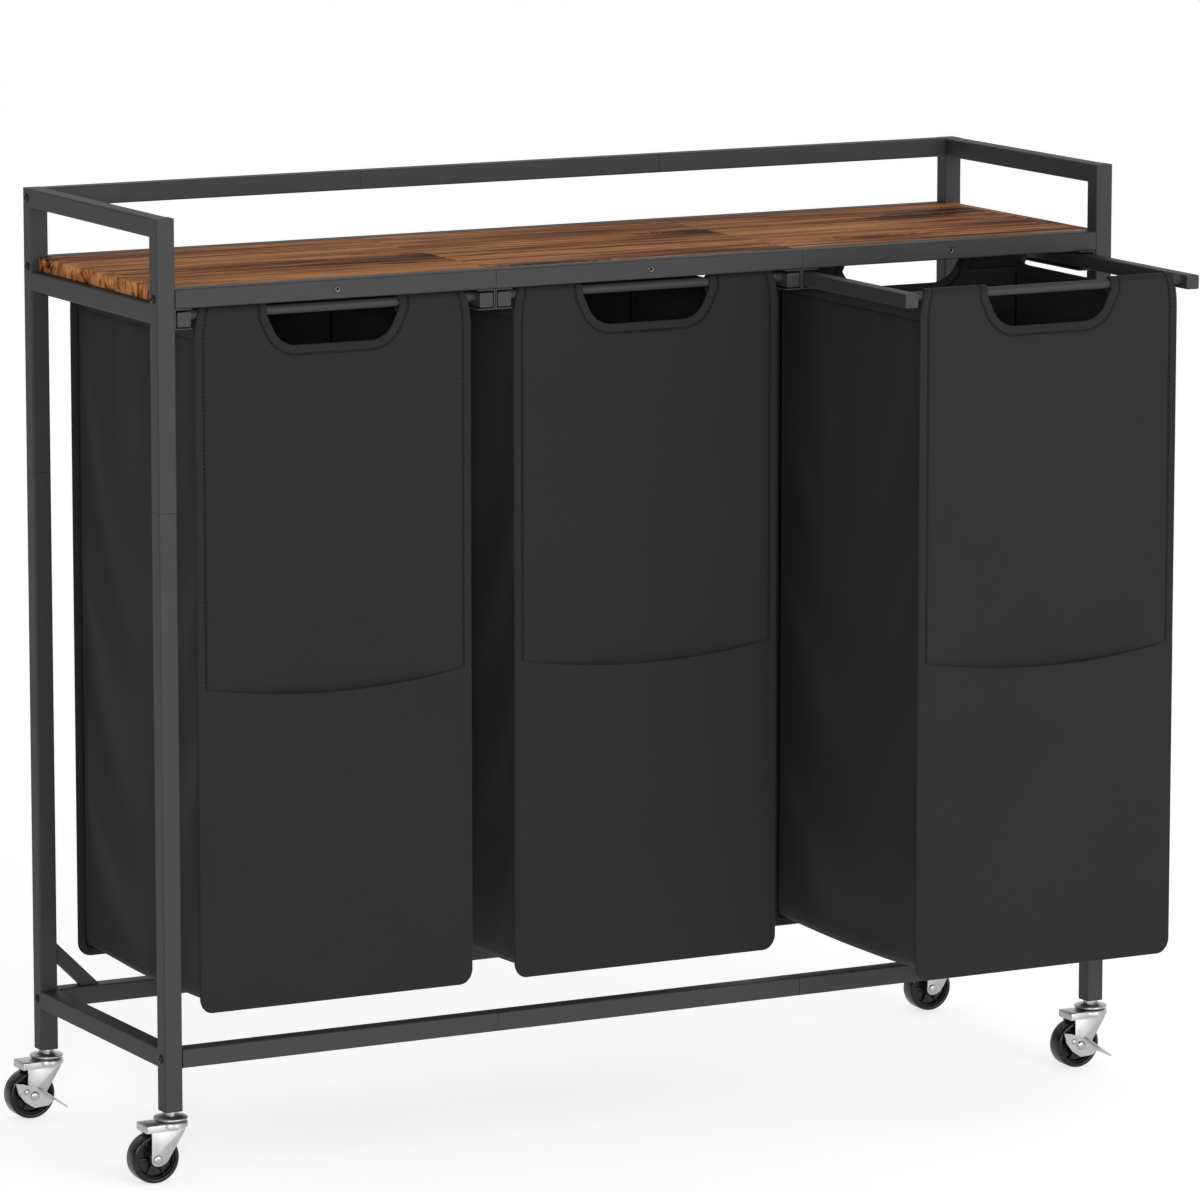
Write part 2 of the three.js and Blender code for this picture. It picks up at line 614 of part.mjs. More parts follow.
function casterFork() {
  const bore = PIVOT_R + RUNNING;
  const head = turned(
    [
      [bore, FORK_HEAD_BOTTOM],
      [FORK_HEAD_R - 4, FORK_HEAD_BOTTOM],
      [FORK_HEAD_R, FORK_PLATE_BOTTOM],
      [FORK_HEAD_R, FORK_HEAD_TOP - 1],
      [FORK_HEAD_R - 1, FORK_HEAD_TOP],
      [bore, FORK_HEAD_TOP],
      [bore, FORK_HEAD_BOTTOM],
    ],
    "z",
  );
  const half = FORK_OUTER;
  const shoulder = -CASTER_TRAIL - FORK_FOOT_R / 2;
  const plate = polygon([
    [-FORK_PLATE_REACH, -half + 4],
    [-FORK_PLATE_REACH + 3, -half],
    [FORK_PLATE_FRONT, -half],
    [FORK_PLATE_FRONT, half],
    [-FORK_PLATE_REACH + 3, half],
    [-FORK_PLATE_REACH, half - 4],
  ]);
  const leg = [];
  const steps = 10;
  for (let i = 0; i <= steps; i++) {
    const a = Math.PI + (i / steps) * (Math.PI * 0.8);
    leg.push([-CASTER_TRAIL + FORK_FOOT_R * Math.cos(a), AXLE_Z + FORK_FOOT_R * Math.sin(a)]);
  }
  leg.push([FORK_PLATE_FRONT, FORK_HEAD_BOTTOM]);
  leg.push([FORK_PLATE_FRONT, FORK_PLATE_TOP]);
  leg.push([shoulder, FORK_PLATE_TOP]);
  const keep = [head, solid([prism(plate, "z", FORK_PLATE_BOTTOM, FORK_PLATE_TOP)])];
  for (const y of [-half, half - FORK_WALL]) keep.push(prism(polygon(leg), "y", y, y + FORK_WALL));
  const pivot = rod("z", FORK_HEAD_BOTTOM - GAP, FORK_HEAD_TOP + GAP, 0, 0, bore, TURNED_SIDES);
  const axle = rod("y", -half - GAP, half + GAP, -CASTER_TRAIL, AXLE_Z, AXLE_R + RUNNING, 24);
  return solid(keep, [pivot, axle]);
}

function casterWheel() {
  const half = WHEEL_WIDTH / 2;
  const web = WHEEL_WEB / 2;
  const bore = AXLE_R + RUNNING;
  const profile = [
    [bore, -half],
    [WHEEL_HUB_R, -half],
    [WHEEL_HUB_R, -web],
    [WHEEL_RIM_R, -web],
    [WHEEL_RIM_R, -half + WHEEL_EDGE / 3],
    [WHEEL_R - WHEEL_EDGE, -half],
    [WHEEL_R, -half + WHEEL_EDGE],
    [WHEEL_R, half - WHEEL_EDGE],
    [WHEEL_R - WHEEL_EDGE, half],
    [WHEEL_RIM_R, half - WHEEL_EDGE / 3],
    [WHEEL_RIM_R, web],
    [WHEEL_HUB_R, web],
    [WHEEL_HUB_R, half],
    [bore, half],
    [bore, -half],
  ];
  const keep = [turned(profile, "y", 36)];
  const spokeHalf = SPOKE_THICKNESS / 2;
  for (let i = 0; i < WHEEL_SPOKES; i++) {
    const section = polygon([
      [WHEEL_HUB_R - 1, -spokeHalf],
      [WHEEL_RIM_R + 1, -spokeHalf],
      [WHEEL_RIM_R + 1, spokeHalf],
      [WHEEL_HUB_R - 1, spokeHalf],
    ]);
    const spoke = prism(section, "y", -SPOKE_WIDTH / 2, SPOKE_WIDTH / 2);
    keep.push(spoke.rotateY((i / WHEEL_SPOKES) * 2 * Math.PI));
  }
  return solid(keep).translate(-CASTER_TRAIL, 0, AXLE_Z);
}

function casterAxle(braked) {
  const near = -FORK_OUTER - GAP - (braked ? LEVER_THICKNESS + GAP : 0);
  const far = FORK_OUTER + GAP;
  const profile = [
    [0, near - AXLE_HEAD],
    [AXLE_HEAD_R - 1, near - AXLE_HEAD],
    [AXLE_HEAD_R, near],
    [AXLE_R, near],
    [AXLE_R, far],
    [AXLE_HEAD_R, far],
    [AXLE_HEAD_R - 1, far + AXLE_HEAD],
    [0, far + AXLE_HEAD],
  ];
  return solid([turned(profile, "y", 24)]).translate(-CASTER_TRAIL, 0, AXLE_Z);
}

// Brake lever: a leaf-shaped side plate with a flange along its top that runs on into a foot pedal
function brakeLever() {
  const inner = -FORK_OUTER - GAP;
  const outer = inner - LEVER_THICKNESS;
  const top = (x) => LEVER_BEND_RISE - LEVER_SLOPE * (x - LEVER_BEND_X);
  const strip = (from, to) => polygon([
    [from, top(from)],
    [to, top(to)],
    [to, top(to) + LEVER_THICKNESS],
    [from, top(from) + LEVER_THICKNESS],
  ]);
  const edge = outer - LEVER_FLANGE;
  const flange = prism(strip(LEVER_BEND_X - 1, LEVER_TIP_X), "y", edge, inner);
  const pedal = prism(strip(LEVER_TIP_X - LEVER_PEDAL_LENGTH, LEVER_TIP_X), "y", edge, LEVER_PEDAL_REACH);
  const hole = rod("y", outer - GAP, inner + GAP, 0, 0, AXLE_R + RUNNING, 24);
  const plate = prism(polygon(LEVER_LEAF), "y", outer, inner);
  return solid([plate, flange, pedal], [hole]).translate(-CASTER_TRAIL, 0, AXLE_Z);
}

const CORNERS = [
  ["front_left", -POST_X, -POST_Y, false],
  ["front_right", POST_X, -POST_Y, true],
  ["rear_left", -POST_X, POST_Y, true],
  ["rear_right", POST_X, POST_Y, false],
];
for (const [corner, x, y, braked] of CORNERS) {
  add(`caster_stem_${corner}`, casterStem().translate(x, y, 0), ZINC);
  add(`caster_fork_${corner}`, casterFork().translate(x, y, 0), ZINC);
  add(`caster_axle_${corner}`, casterAxle(braked).translate(x, y, 0), ZINC);
  add(`caster_wheel_${corner}`, casterWheel().translate(x, y, 0), WHEEL);
  if (braked) add(`caster_brake_${corner}`, brakeLever().translate(x, y, 0), ZINC);
}

// The origin is on the floor under the middle of the cart's bounding box.
const bounds = new THREE.Box3().setFromObject(cart, true);
const middle = bounds.getCenter(new THREE.Vector3());
for (const mesh of cart.children) mesh.geometry.translate(-middle.x, -middle.y, -bounds.min.z);

export default cart;
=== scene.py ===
# %% [markdown]
# # A rolling laundry cart, dressed in its real finishes
#
# The cart arrives as a packed mechanical model: tubes, boards, bag frames, casters, and plain
# solids where the cloth goes. This lesson keeps every hard part where it is, gives it a finish,
# and sews new bags in the space that the plain cloth solids hold.

import json
import math
import time

import bmesh
import bpy
from mathutils import Matrix, Vector, noise


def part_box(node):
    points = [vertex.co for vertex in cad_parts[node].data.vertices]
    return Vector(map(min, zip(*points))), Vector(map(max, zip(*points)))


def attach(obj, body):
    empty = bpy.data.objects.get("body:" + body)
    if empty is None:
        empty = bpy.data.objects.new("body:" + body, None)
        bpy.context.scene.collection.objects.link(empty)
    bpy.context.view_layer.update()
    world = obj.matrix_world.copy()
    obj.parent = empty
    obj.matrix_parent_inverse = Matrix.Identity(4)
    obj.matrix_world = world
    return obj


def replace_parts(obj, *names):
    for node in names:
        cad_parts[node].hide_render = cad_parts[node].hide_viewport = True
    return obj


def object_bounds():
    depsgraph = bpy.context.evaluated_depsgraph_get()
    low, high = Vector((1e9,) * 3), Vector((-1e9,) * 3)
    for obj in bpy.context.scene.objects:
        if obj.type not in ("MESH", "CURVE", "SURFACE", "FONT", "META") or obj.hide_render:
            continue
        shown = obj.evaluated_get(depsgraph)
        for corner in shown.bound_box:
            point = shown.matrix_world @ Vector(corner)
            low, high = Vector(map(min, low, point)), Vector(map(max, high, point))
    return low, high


started = time.time()
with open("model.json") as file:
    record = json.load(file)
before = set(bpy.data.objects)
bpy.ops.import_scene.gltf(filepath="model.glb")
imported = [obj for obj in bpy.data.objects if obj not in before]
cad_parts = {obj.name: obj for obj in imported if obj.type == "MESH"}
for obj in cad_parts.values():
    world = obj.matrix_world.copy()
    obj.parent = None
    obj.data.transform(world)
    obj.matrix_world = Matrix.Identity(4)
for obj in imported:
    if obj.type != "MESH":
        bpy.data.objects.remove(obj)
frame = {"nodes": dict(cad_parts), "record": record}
cad_low, cad_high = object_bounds()
MM = 0.001
BAGS = (1, 2, 3)
CORNERS = ("front_left", "front_right", "rear_left", "rear_right")
print("cart", [round(side / MM) for side in cad_high - cad_low], "mm")

# %% [markdown]
# ## The camera
#
# A long lens from a few metres away keeps the uprights nearly parallel, which is how furniture is
# usually shown. The camera stands to the left of the middle and a little above the shelf, and it
# looks along one direction, so no target object is needed.

# %% Set the camera
LENS = 213.58
AZIMUTH, ELEVATION = math.radians(-27.892), math.radians(9.496)
STAND = Vector((-3.48671, -6.56733, 1.80271))

camera_data = bpy.data.cameras.new("camera")
camera_data.lens, camera_data.sensor_width = LENS, 36.0
camera_data.clip_end = 100.0
camera = bpy.data.objects.new("camera", camera_data)
bpy.context.scene.collection.objects.link(camera)
back = Vector((
    math.sin(AZIMUTH) * math.cos(ELEVATION),
    -math.cos(AZIMUTH) * math.cos(ELEVATION),
    math.sin(ELEVATION),
))
camera.location = STAND
camera.rotation_mode = "QUATERNION"
camera.rotation_quaternion = (-back).to_track_quat("-Z", "Y")
bpy.context.scene.camera = camera
print("camera", round((STAND - (cad_low + cad_high) / 2).length, 2), "m away")

# %% [markdown]
# ## A way to write shader maths
#
# A finish is a small calculation: height from noise, colour from height. Wrapping each socket in a
# class lets that calculation be written with plus and minus signs, and every sign adds its Math
# node. All other nodes come from one method that takes the node's type, settings and inputs.

# %% Wire and Finish
class Wire:
    """An output socket that arithmetic works on."""

    def __init__(self, finish, socket):
        self.finish, self.socket = finish, socket

    def maths(self, operation, *values):
        return self.finish.node("ShaderNodeMath", {"operation": operation}, dict(enumerate(values)))

    def __add__(self, other):
        return self.maths("ADD", self, other)

    def __radd__(self, other):
        return self.maths("ADD", other, self)

    def __sub__(self, other):
        return self.maths("SUBTRACT", self, other)

    def __rsub__(self, other):
        return self.maths("SUBTRACT", other, self)

    def __mul__(self, other):
        return self.maths("MULTIPLY", self, other)

    def __rmul__(self, other):
        return self.maths("MULTIPLY", other, self)

    def sine(self):
        return self.maths("SINE", self)

    def floor(self):
        return self.maths("FLOOR", self)

    def between(self, low, high):
        """0 where the value is low or under, 1 where it is high or over, and smooth between."""
        return self.finish.node(
            "ShaderNodeMapRange",
            {"interpolation_type": "SMOOTHSTEP"},
            {"Value": self, "From Min": low, "From Max": high},
        )


class Finish:
    """One material, or the sky, and the nodes that make it."""

    def __init__(self, name, shelf=bpy.data.materials):
        self.block = shelf.new(name)
        self.block.use_nodes = True
        self.tree = self.block.node_tree
        self.tree.nodes.clear()

    def node(self, kind, settings=None, sockets=None, out=0):
        made = self.tree.nodes.new(kind)
        for name, value in (settings or {}).items():
            if name == "stops":
                self.set_stops(made.color_ramp, value)
            else:
                setattr(made, name, value)
        for name, value in (sockets or {}).items():
            if isinstance(name, int):
                socket = made.inputs[name]
            else:
                socket = next(s for s in made.inputs if s.enabled and s.name == name)
            if isinstance(value, Wire):
                self.tree.links.new(value.socket, socket)
            else:
                socket.default_value = value
        results = [s for s in made.outputs if s.enabled]
        wanted = results[out] if isinstance(out, int) else next(s for s in results if s.name == out)
        return Wire(self, wanted)

    def set_stops(self, ramp, stops):
        while len(ramp.elements) < len(stops):
            ramp.elements.new(1.0)
        for element, (position, colour) in zip(ramp.elements, stops):
            element.position, element.color = position, (*colour, 1.0)

    def place(self, stretch=(1.0, 1.0, 1.0)):
        """Object coordinates in metres, stretched by a scale along each axis."""
        where = self.node("ShaderNodeTexCoord", out="Object")
        if stretch == (1.0, 1.0, 1.0):
            return where
        return self.node("ShaderNodeMapping", {}, {"Vector": where, "Scale": stretch})

    def noise(self, vector, scale, detail=2.0, roughness=0.5):
        sockets = {"Vector": vector, "Scale": scale, "Detail": detail, "Roughness": roughness}
        return self.node("ShaderNodeTexNoise", {}, sockets, out=0)

    def blend(self, share, first, second):
        """One colour turning into another; colours are never sent through Math nodes."""
        pair = {"Factor": share}
        for name, colour in (("A", first), ("B", second)):
            pair[name] = colour if isinstance(colour, Wire) else (*colour, 1.0)
        return self.node("ShaderNodeMix", {"data_type": "RGBA"}, pair)

    def bump(self, height, depth, strength=1.0):
        sockets = {"Height": height, "Distance": depth, "Strength": strength}
        return self.node("ShaderNodeBump", {}, sockets)

    def surface(self, sockets):
        shader = self.node("ShaderNodeBsdfPrincipled", {}, sockets)
        output = self.tree.nodes.new("ShaderNodeOutputMaterial")
        self.tree.links.new(shader.socket, output.inputs["Surface"])
        return self.block

# %% [markdown]
# ## Floor, sky and lamps
#
# The cart stands in a white studio. A wide pale floor runs out past the edge of the view. The sky
# is white round the horizon and grey overhead, so that upright faces are bright, top faces are
# darker, and bright metal has something dark to reflect; its left side is dimmer. One broad lamp in
# front, a little to the right, makes the front faces the brightest. A second lamp stands behind the
# camera and looks the same way, so that it reaches into the gaps between the bags and into their
# mouths.

# %% Build the studio
FLOOR_RADIUS = 60.0
HORIZON, ZENITH, LEFT_WALL = (1.1, 1.1, 1.1), (0.42, 0.42, 0.42), (0.14, 0.14, 0.14)
PAPER_DARK, PAPER_LIGHT, PAPER_GLOW = (0.60, 0.60, 0.60), (0.63, 0.63, 0.63), 0.66
# Each lamp: its place, its width and height in metres, and its power in watts.
LAMPS = {
    "front_lamp": ((1.6, -6.2, 1.5), 3.0, 2.2, 130.0),
    "camera_lamp": ((-4.1, -7.7, 2.1), 1.6, 1.6, 285.0),
}

floor_bm = bmesh.new()
bmesh.ops.create_circle(floor_bm, cap_ends=True, segments=96, radius=FLOOR_RADIUS)
floor_mesh = bpy.data.meshes.new("studio_floor")
floor_bm.to_mesh(floor_mesh)
floor_bm.free()
floor = bpy.data.objects.new("studio_floor", floor_mesh)
bpy.context.scene.collection.objects.link(floor)

paper = Finish("studio_paper")
paper_drift = paper.noise(paper.place(), 0.8)
floor_mesh.materials.append(paper.surface({
    "Base Color": paper.blend(paper_drift, PAPER_DARK, PAPER_LIGHT),
    "Roughness": 0.9,
    "Specular IOR Level": 0.1,
    "Emission Color": (1.0, 1.0, 1.0, 1.0),
    "Emission Strength": PAPER_GLOW,
}))

sky = Finish("studio_sky", bpy.data.worlds)
sky_direction = sky.node("ShaderNodeTexCoord", out="Generated")
sky_height = sky.node("ShaderNodeSeparateXYZ", {}, {0: sky_direction}, out="Z")
sky_side = Wire(sky, sky_height.socket.node.outputs["X"])
walls = sky.blend(sky_side.between(-0.9, 0.3), LEFT_WALL, HORIZON)
sky_light = sky.node("ShaderNodeBackground", {}, {
    "Color": sky.blend(sky_height.between(0.1, 0.95), walls, ZENITH),
})
sky_output = sky.tree.nodes.new("ShaderNodeOutputWorld")
sky.tree.links.new(sky_light.socket, sky_output.inputs["Surface"])
bpy.context.scene.world = sky.block


def hang_lamp(name, position, target, width, height, power):
    data = bpy.data.lights.new(name, "AREA")
    data.shape, data.size, data.size_y, data.energy = "RECTANGLE", width, height, power
    lamp = bpy.data.objects.new(name, data)
    bpy.context.scene.collection.objects.link(lamp)
    lamp.location = position
    lamp.rotation_mode = "QUATERNION"
    lamp.rotation_quaternion = (Vector(target) - Vector(position)).to_track_quat("-Z", "Y")


middle = (cad_low + cad_high) / 2
for lamp_name, (lamp_place, width, height, power) in LAMPS.items():
    hang_lamp(lamp_name, lamp_place, middle, width, height, power)
bpy.context.scene.view_settings.view_transform = "Standard"
print("studio floor radius", FLOOR_RADIUS, "m;", len(LAMPS), "lamps")

# %% [markdown]
# ## Powder coat
#
# The frame is steel tube with a baked powder coat: a dark grey plastic skin with a fine orange-peel
# texture. A scanned image of real coat would be one way to make it, but noise in object space needs
# no unwrapping and keeps its grain size on every tube. The bolts are blacker and smoother, and the
# sockets in their heads are darker still, as painted shade inside the recess.

# %% Powder coat
def powder_coat(name, dark, light, roughness):
    coat = Finish(name)
    where = coat.place()
    drift = coat.noise(where, 5.0)
    peel = coat.noise(where, 700.0)
    speck = coat.noise(where, 2600.0, 1.0)
    rub = coat.noise(coat.place((30.0, 30.0, 6.0)), 4.0, 6.0).between(0.62, 0.8)
    tone = coat.blend(drift * 0.7 + speck * 0.3, dark, light)
    worn = coat.blend(rub * 0.1, tone, tuple(2.2 * part for part in light))
    return coat.surface({
        "Base Color": worn,
        "Roughness": roughness + 0.12 * peel - 0.08 * rub,
        "Specular IOR Level": 0.2,
        "Normal": coat.bump(peel + 0.4 * speck, 0.00006, 0.6),
    })


frame_paint = powder_coat("frame_paint", (0.031, 0.031, 0.031), (0.039, 0.039, 0.039), 0.5)
slide_paint = powder_coat("slide_paint", (0.030, 0.030, 0.031), (0.038, 0.038, 0.039), 0.46)
bolt_black = powder_coat("bolt_black", (0.006, 0.006, 0.006), (0.010, 0.010, 0.010), 0.28)
# Painted shade: a near-black finish for the inside of the sockets, standing in for the shade in the
# recess.
socket_shadow = powder_coat("socket_painted_shade", (0.004, 0.004, 0.004), (0.007, 0.007, 0.007), 0.6)
print("coats", [coat.name for coat in (frame_paint, slide_paint, bolt_black, socket_shadow)])

# %% [markdown]
# ## Rustic board
#
# The shelf boards are chipboard with a printed brown wood skin: long grain, darker heartwood
# streaks, small knots and short dark flecks. The grain runs along the cart, so the noise is
# stretched along X. Knots are round cells that also push the grain lines aside. Each board is cut
# from another length of the print, so the pattern jumps where one board meets the next.

# %% Rustic board
board_low, board_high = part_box("shelf_board_2")
FIRST_SEAM, BOARD_PITCH = board_low.x, board_high.x - board_low.x
JUMP_ALONG, JUMP_ACROSS = 3.7, 11.3
TONE_MIDDLE, TONE_CONTRAST, TONE_CENTRE = 0.55, 2.1, 0.52


def rustic_board(name):
    board = Finish(name)
    along_cart = board.node("ShaderNodeSeparateXYZ", {}, {0: board.place()}, out="X")
    count = ((along_cart - FIRST_SEAM) * (1 / BOARD_PITCH)).floor()
    jump = board.node(
        "ShaderNodeCombineXYZ", {}, {"X": JUMP_ALONG * count, "Y": JUMP_ACROSS * count}
    )

    def place(stretch):
        """The stretched place, moved on by another length of wood for each board."""
        moved = {0: board.place(stretch), 1: jump}
        return board.node("ShaderNodeVectorMath", {"operation": "ADD"}, moved)

    along = place((1.3, 9.0, 9.0))
    knot = board.node(
        "ShaderNodeTexVoronoi",
        {"feature": "SMOOTH_F1"},
        {"Vector": place((3.2, 9.5, 9.5)), "Scale": 1.0, "Smoothness": 0.3},
        out="Distance",
    )
    near_knot = 1.0 - knot.between(0.0, 0.34)
    swirl = board.noise(along, 2.4, 3.0)
    bent = board.node(
        "ShaderNodeVectorMath",
        {"operation": "ADD"},
        {0: along, 1: board.node(
            "ShaderNodeCombineXYZ", {}, {"Y": 0.5 * swirl + 0.5 * near_knot, "Z": 0.4 * near_knot}
        )},
    )
    grain = board.node(
        "ShaderNodeTexWave",
        {"wave_type": "BANDS", "bands_direction": "Y", "wave_profile": "SAW"},
        {"Vector": bent, "Scale": 3.6, "Distortion": 2.6, "Detail": 4.0, "Detail Scale": 1.6},
        out=1,
    )
    streak = board.noise(place((1.9, 40.0, 40.0)), 2.0, 6.0, 0.66)
    pores = board.noise(place((26.0, 420.0, 420.0)), 2.0, 2.0)
    broad = board.noise(place((0.9, 7.0, 7.0)), 1.7, 3.0)
    even = 0.10 * grain + 0.62 * streak + 0.46 * broad - 0.16 * near_knot
    tone = (even - TONE_MIDDLE) * TONE_CONTRAST + TONE_CENTRE
    wood = board.node("ShaderNodeValToRGB", {"stops": (
        (0.30, (0.016, 0.005, 0.002)),
        (0.42, (0.085, 0.026, 0.007)),
        (0.53, (0.225, 0.074, 0.020)),
        (0.64, (0.380, 0.145, 0.045)),
        (0.80, (0.560, 0.260, 0.095)),
    )}, {"Fac": tone})
    heart = 1.0 - knot.between(0.05, 0.13)
    fleck = pores.between(0.60, 0.72)
    knotted = board.blend(heart * 0.85, wood, (0.022, 0.009, 0.005))
    flecked = board.blend(fleck * 0.5, knotted, (0.04, 0.017, 0.008))
    return board.surface({
        "Base Color": flecked,
        "Roughness": 0.55 + 0.14 * streak - 0.05 * grain,
        "Specular IOR Level": 0.02,
        "Normal": board.bump(0.5 * grain + streak - fleck, 0.00012, 0.5),
    })


board_wood = rustic_board("board_wood")
print("boards", round(BOARD_PITCH / MM, 1), "mm long")

# %% [markdown]
# ## Bright zinc, and black moulded plastic
#
# The casters are pressed steel with a bright zinc plating, which has a faint cloudy spangle, and
# wheels of hard black plastic, glossy on the sides and scuffed on the tread.

# %% Zinc and wheel plastic
def bright_zinc(name, bright):
    zinc = Finish(name)
    where = zinc.place()
    cloud = zinc.noise(where, 90.0, 3.0)
    brushed = zinc.noise(zinc.place((900.0, 900.0, 60.0)), 1.0, 2.0)
    spangle = zinc.node("ShaderNodeTexVoronoi", {}, {"Vector": where, "Scale": 260.0}, out=0)
    grey = zinc.blend(cloud, bright, tuple(1.25 * part for part in bright))
    return zinc.surface({
        "Base Color": zinc.blend(spangle * 0.2, grey, tuple(0.8 * part for part in bright)),
        "Metallic": 1.0,
        "Roughness": 0.24 + 0.16 * cloud + 0.06 * brushed,
        "Normal": zinc.bump(brushed, 0.00002, 0.4),
    })


def wheel_plastic_finish(name):
    plastic = Finish(name)
    where = plastic.place()
    scuff = plastic.noise(where, 160.0, 5.0).between(0.52, 0.75)
    grain = plastic.noise(where, 1500.0)
    return plastic.surface({
        "Base Color": plastic.blend(scuff * 0.4, (0.004, 0.004, 0.004), (0.018, 0.0175, 0.017)),
        "Roughness": 0.24 + 0.22 * scuff + 0.05 * grain,
        "Specular IOR Level": 0.3,
        "Normal": plastic.bump(grain + scuff, 0.00003, 0.5),
    })


zinc = bright_zinc("bright_zinc", (0.38, 0.38, 0.376))
screw_steel = bright_zinc("screw_steel", (0.07, 0.07, 0.07))
wheel_plastic = wheel_plastic_finish("wheel_plastic")

# %% [markdown]
# ## Bag cloth
#
# The bags are sewn from a coated charcoal polyester in a plain weave. The weave follows the cloth,
# so it reads the piece's own UV map, which holds the flat pattern in metres: one thread is about
# half a millimetre. Each piece also carries a number called seam, 1 along a row of stitches, where
# the cloth is pulled in and catches less light; there the colour is darkened as painted shade.

# %% Bag cloth
THREAD = 0.55 * MM


def bag_cloth(name, dark, light):
    cloth = Finish(name)
    flat = cloth.node("ShaderNodeUVMap", {"uv_map": "cloth"})
    split = cloth.node("ShaderNodeSeparateXYZ", {}, {0: flat}, out=0)
    across = Wire(cloth, split.socket.node.outputs["X"])
    down = Wire(cloth, split.socket.node.outputs["Y"])
    turns = math.tau / (2 * THREAD)
    weave = (across * turns).sine() * (down * turns).sine()
    slub = cloth.noise(
        cloth.node("ShaderNodeMapping", {}, {"Vector": flat, "Scale": (60.0, 900.0, 1.0)}), 1.0, 3.0
    )
    drift = cloth.noise(cloth.place(), 9.0, 4.0)
    fuzz = cloth.noise(cloth.place(), 420.0, 3.0)
    seam = cloth.node("ShaderNodeAttribute", {"attribute_name": "seam"}, out="Fac")
    tone = cloth.blend(0.45 * drift + 0.25 * slub + 0.3 * fuzz, dark, light)
    lifted = cloth.blend(0.10 + 0.10 * weave, tone, tuple(1.5 * part for part in light))
    # Painted shade: the colour is darkened along the seam, where the groove catches less light.
    sewn = cloth.blend(seam * 0.9, lifted, tuple(0.12 * part for part in dark))
    return cloth.surface({
        "Base Color": sewn,
        "Roughness": 0.78 + 0.1 * fuzz - 0.06 * weave,
        "Specular IOR Level": 0.1,
        "Sheen Weight": 0.04,
        "Sheen Roughness": 0.5,
        "Normal": cloth.bump(0.5 * weave + 0.5 * slub + 0.6 * fuzz, 0.00012, 0.45),
    })


def sewing_thread(name):
    thread = Finish(name)
    twist = thread.noise(thread.place(), 1800.0, 2.0)
    return thread.surface({
        "Base Color": thread.blend(twist, (0.008, 0.008, 0.008), (0.024, 0.024, 0.0245)),
        "Roughness": 0.55 + 0.2 * twist,
        "Normal": thread.bump(twist, 0.0001, 0.5),
    })


charcoal = bag_cloth("bag_charcoal", (0.0135, 0.0135, 0.0137), (0.0185, 0.0185, 0.0187))
charcoal_thread = sewing_thread("bag_thread")

# %% [markdown]
# ## Dress the hard parts
#
# The metal, wood and plastic parts already have the right shape, so they stay and only change
# their finish. Their meshes are loose triangles: a Weld modifier joins them, then a small Bevel
# takes the knife edge off every corner, which is what catches the light along a real tube, and a
# Weighted Normal modifier keeps the big faces looking flat and the round ones round.

# %% Finish the hard parts
FINISH_OF_SLOT = {
    "frame_paint": frame_paint,
    "slide_paint": slide_paint,
    "board_wood": board_wood,
    "wheel_plastic": wheel_plastic,
    "zinc": zinc,
    "bag_fabric": charcoal,
}
EDGE_OF_SLOT = {"board_wood": 0.6 * MM, "frame_paint": 0.5 * MM, "slide_paint": 0.4 * MM}


def dress(node, finish, edge):
    part = frame["nodes"][node]
    part.data.materials.clear()
    part.data.materials.append(finish)
    weld = part.modifiers.new("join_triangles", "WELD")
    weld.merge_threshold = 0.01 * MM
    bevel = part.modifiers.new("soft_edges", "BEVEL")
    bevel.width, bevel.segments, bevel.limit_method = edge, 2, "ANGLE"
    bevel.angle_limit = math.radians(40)
    normals = part.data.attributes.get("custom_normal")
    if normals is not None:
        part.data.attributes.remove(normals)
    part.data.polygons.foreach_set("use_smooth", [True] * len(part.data.polygons))
    level = part.modifiers.new("level_faces", "WEIGHTED_NORMAL")
    level.mode, level.weight, level.keep_sharp = "FACE_AREA", 90, False
    return part


slot_of = {part["node"]: part["material_slot"] for part in frame["record"]["subparts"]}
for node in frame["nodes"]:
    dress(node, FINISH_OF_SLOT[slot_of[node]], EDGE_OF_SLOT.get(slot_of[node], 0.25 * MM))
print("dressed", len(slot_of), "hard parts;", "smooth faces in a rail:",
      sum(p.use_smooth for p in frame["nodes"]["rail_top_rear_left"].data.polygons))

# %% [markdown]
# ## From a bmesh to a piece of the cart
#
# Every new piece ends the same way: its mesh is written out, it gets a finish, and it rides on the
# body that carries it. Three short helpers round edges off, cut a mesh along a plane and turn its
# faces outwards.

# %% Turn a bmesh into a piece
def round_off(bm, geom, offset, segments, affect="EDGES"):
    return bmesh.ops.bevel(
        bm, geom=geom, offset=offset, offset_type="OFFSET", segments=segments, profile=0.5,
        affect=affect, material=-1,
    )


def cut_along(bm, point, facing, snap):
    bmesh.ops.bisect_plane(
        bm, geom=bm.verts[:] + bm.edges[:] + bm.faces[:], dist=snap, plane_co=point,
        plane_no=facing,
    )


def face_outwards(bm):
    bmesh.ops.recalc_face_normals(bm, faces=bm.faces[:])


def finish_piece(bm, name, finish, body, crease=None):
    """crease: edges that turn more than this many degrees stay sharp."""
    mesh = bpy.data.meshes.new(name)
    bm.to_mesh(mesh)
    bm.free()
    mesh.materials.append(finish)
    mesh.polygons.foreach_set("use_smooth", [True] * len(mesh.polygons))
    if crease is not None:
        mesh.set_sharp_from_angle(angle=math.radians(crease))
    piece = bpy.data.objects.new(name, mesh)
    bpy.context.scene.collection.objects.link(piece)
    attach(piece, body)
    return piece


def thicken(piece, thickness):
    """Gives the sheet its thickness, less where the loft value says the cloth is pulled in."""
    loft = piece.data.attributes["loft"].data
    group = piece.vertex_groups.new(name="loft")
    for index, value in enumerate(loft):
        group.add([index], value.value, "REPLACE")
    wall = piece.modifiers.new("cloth_thickness", "SOLIDIFY")
    wall.thickness, wall.offset, wall.vertex_group = thickness, 0.0, "loft"
    wall.use_even_offset = True
    return piece

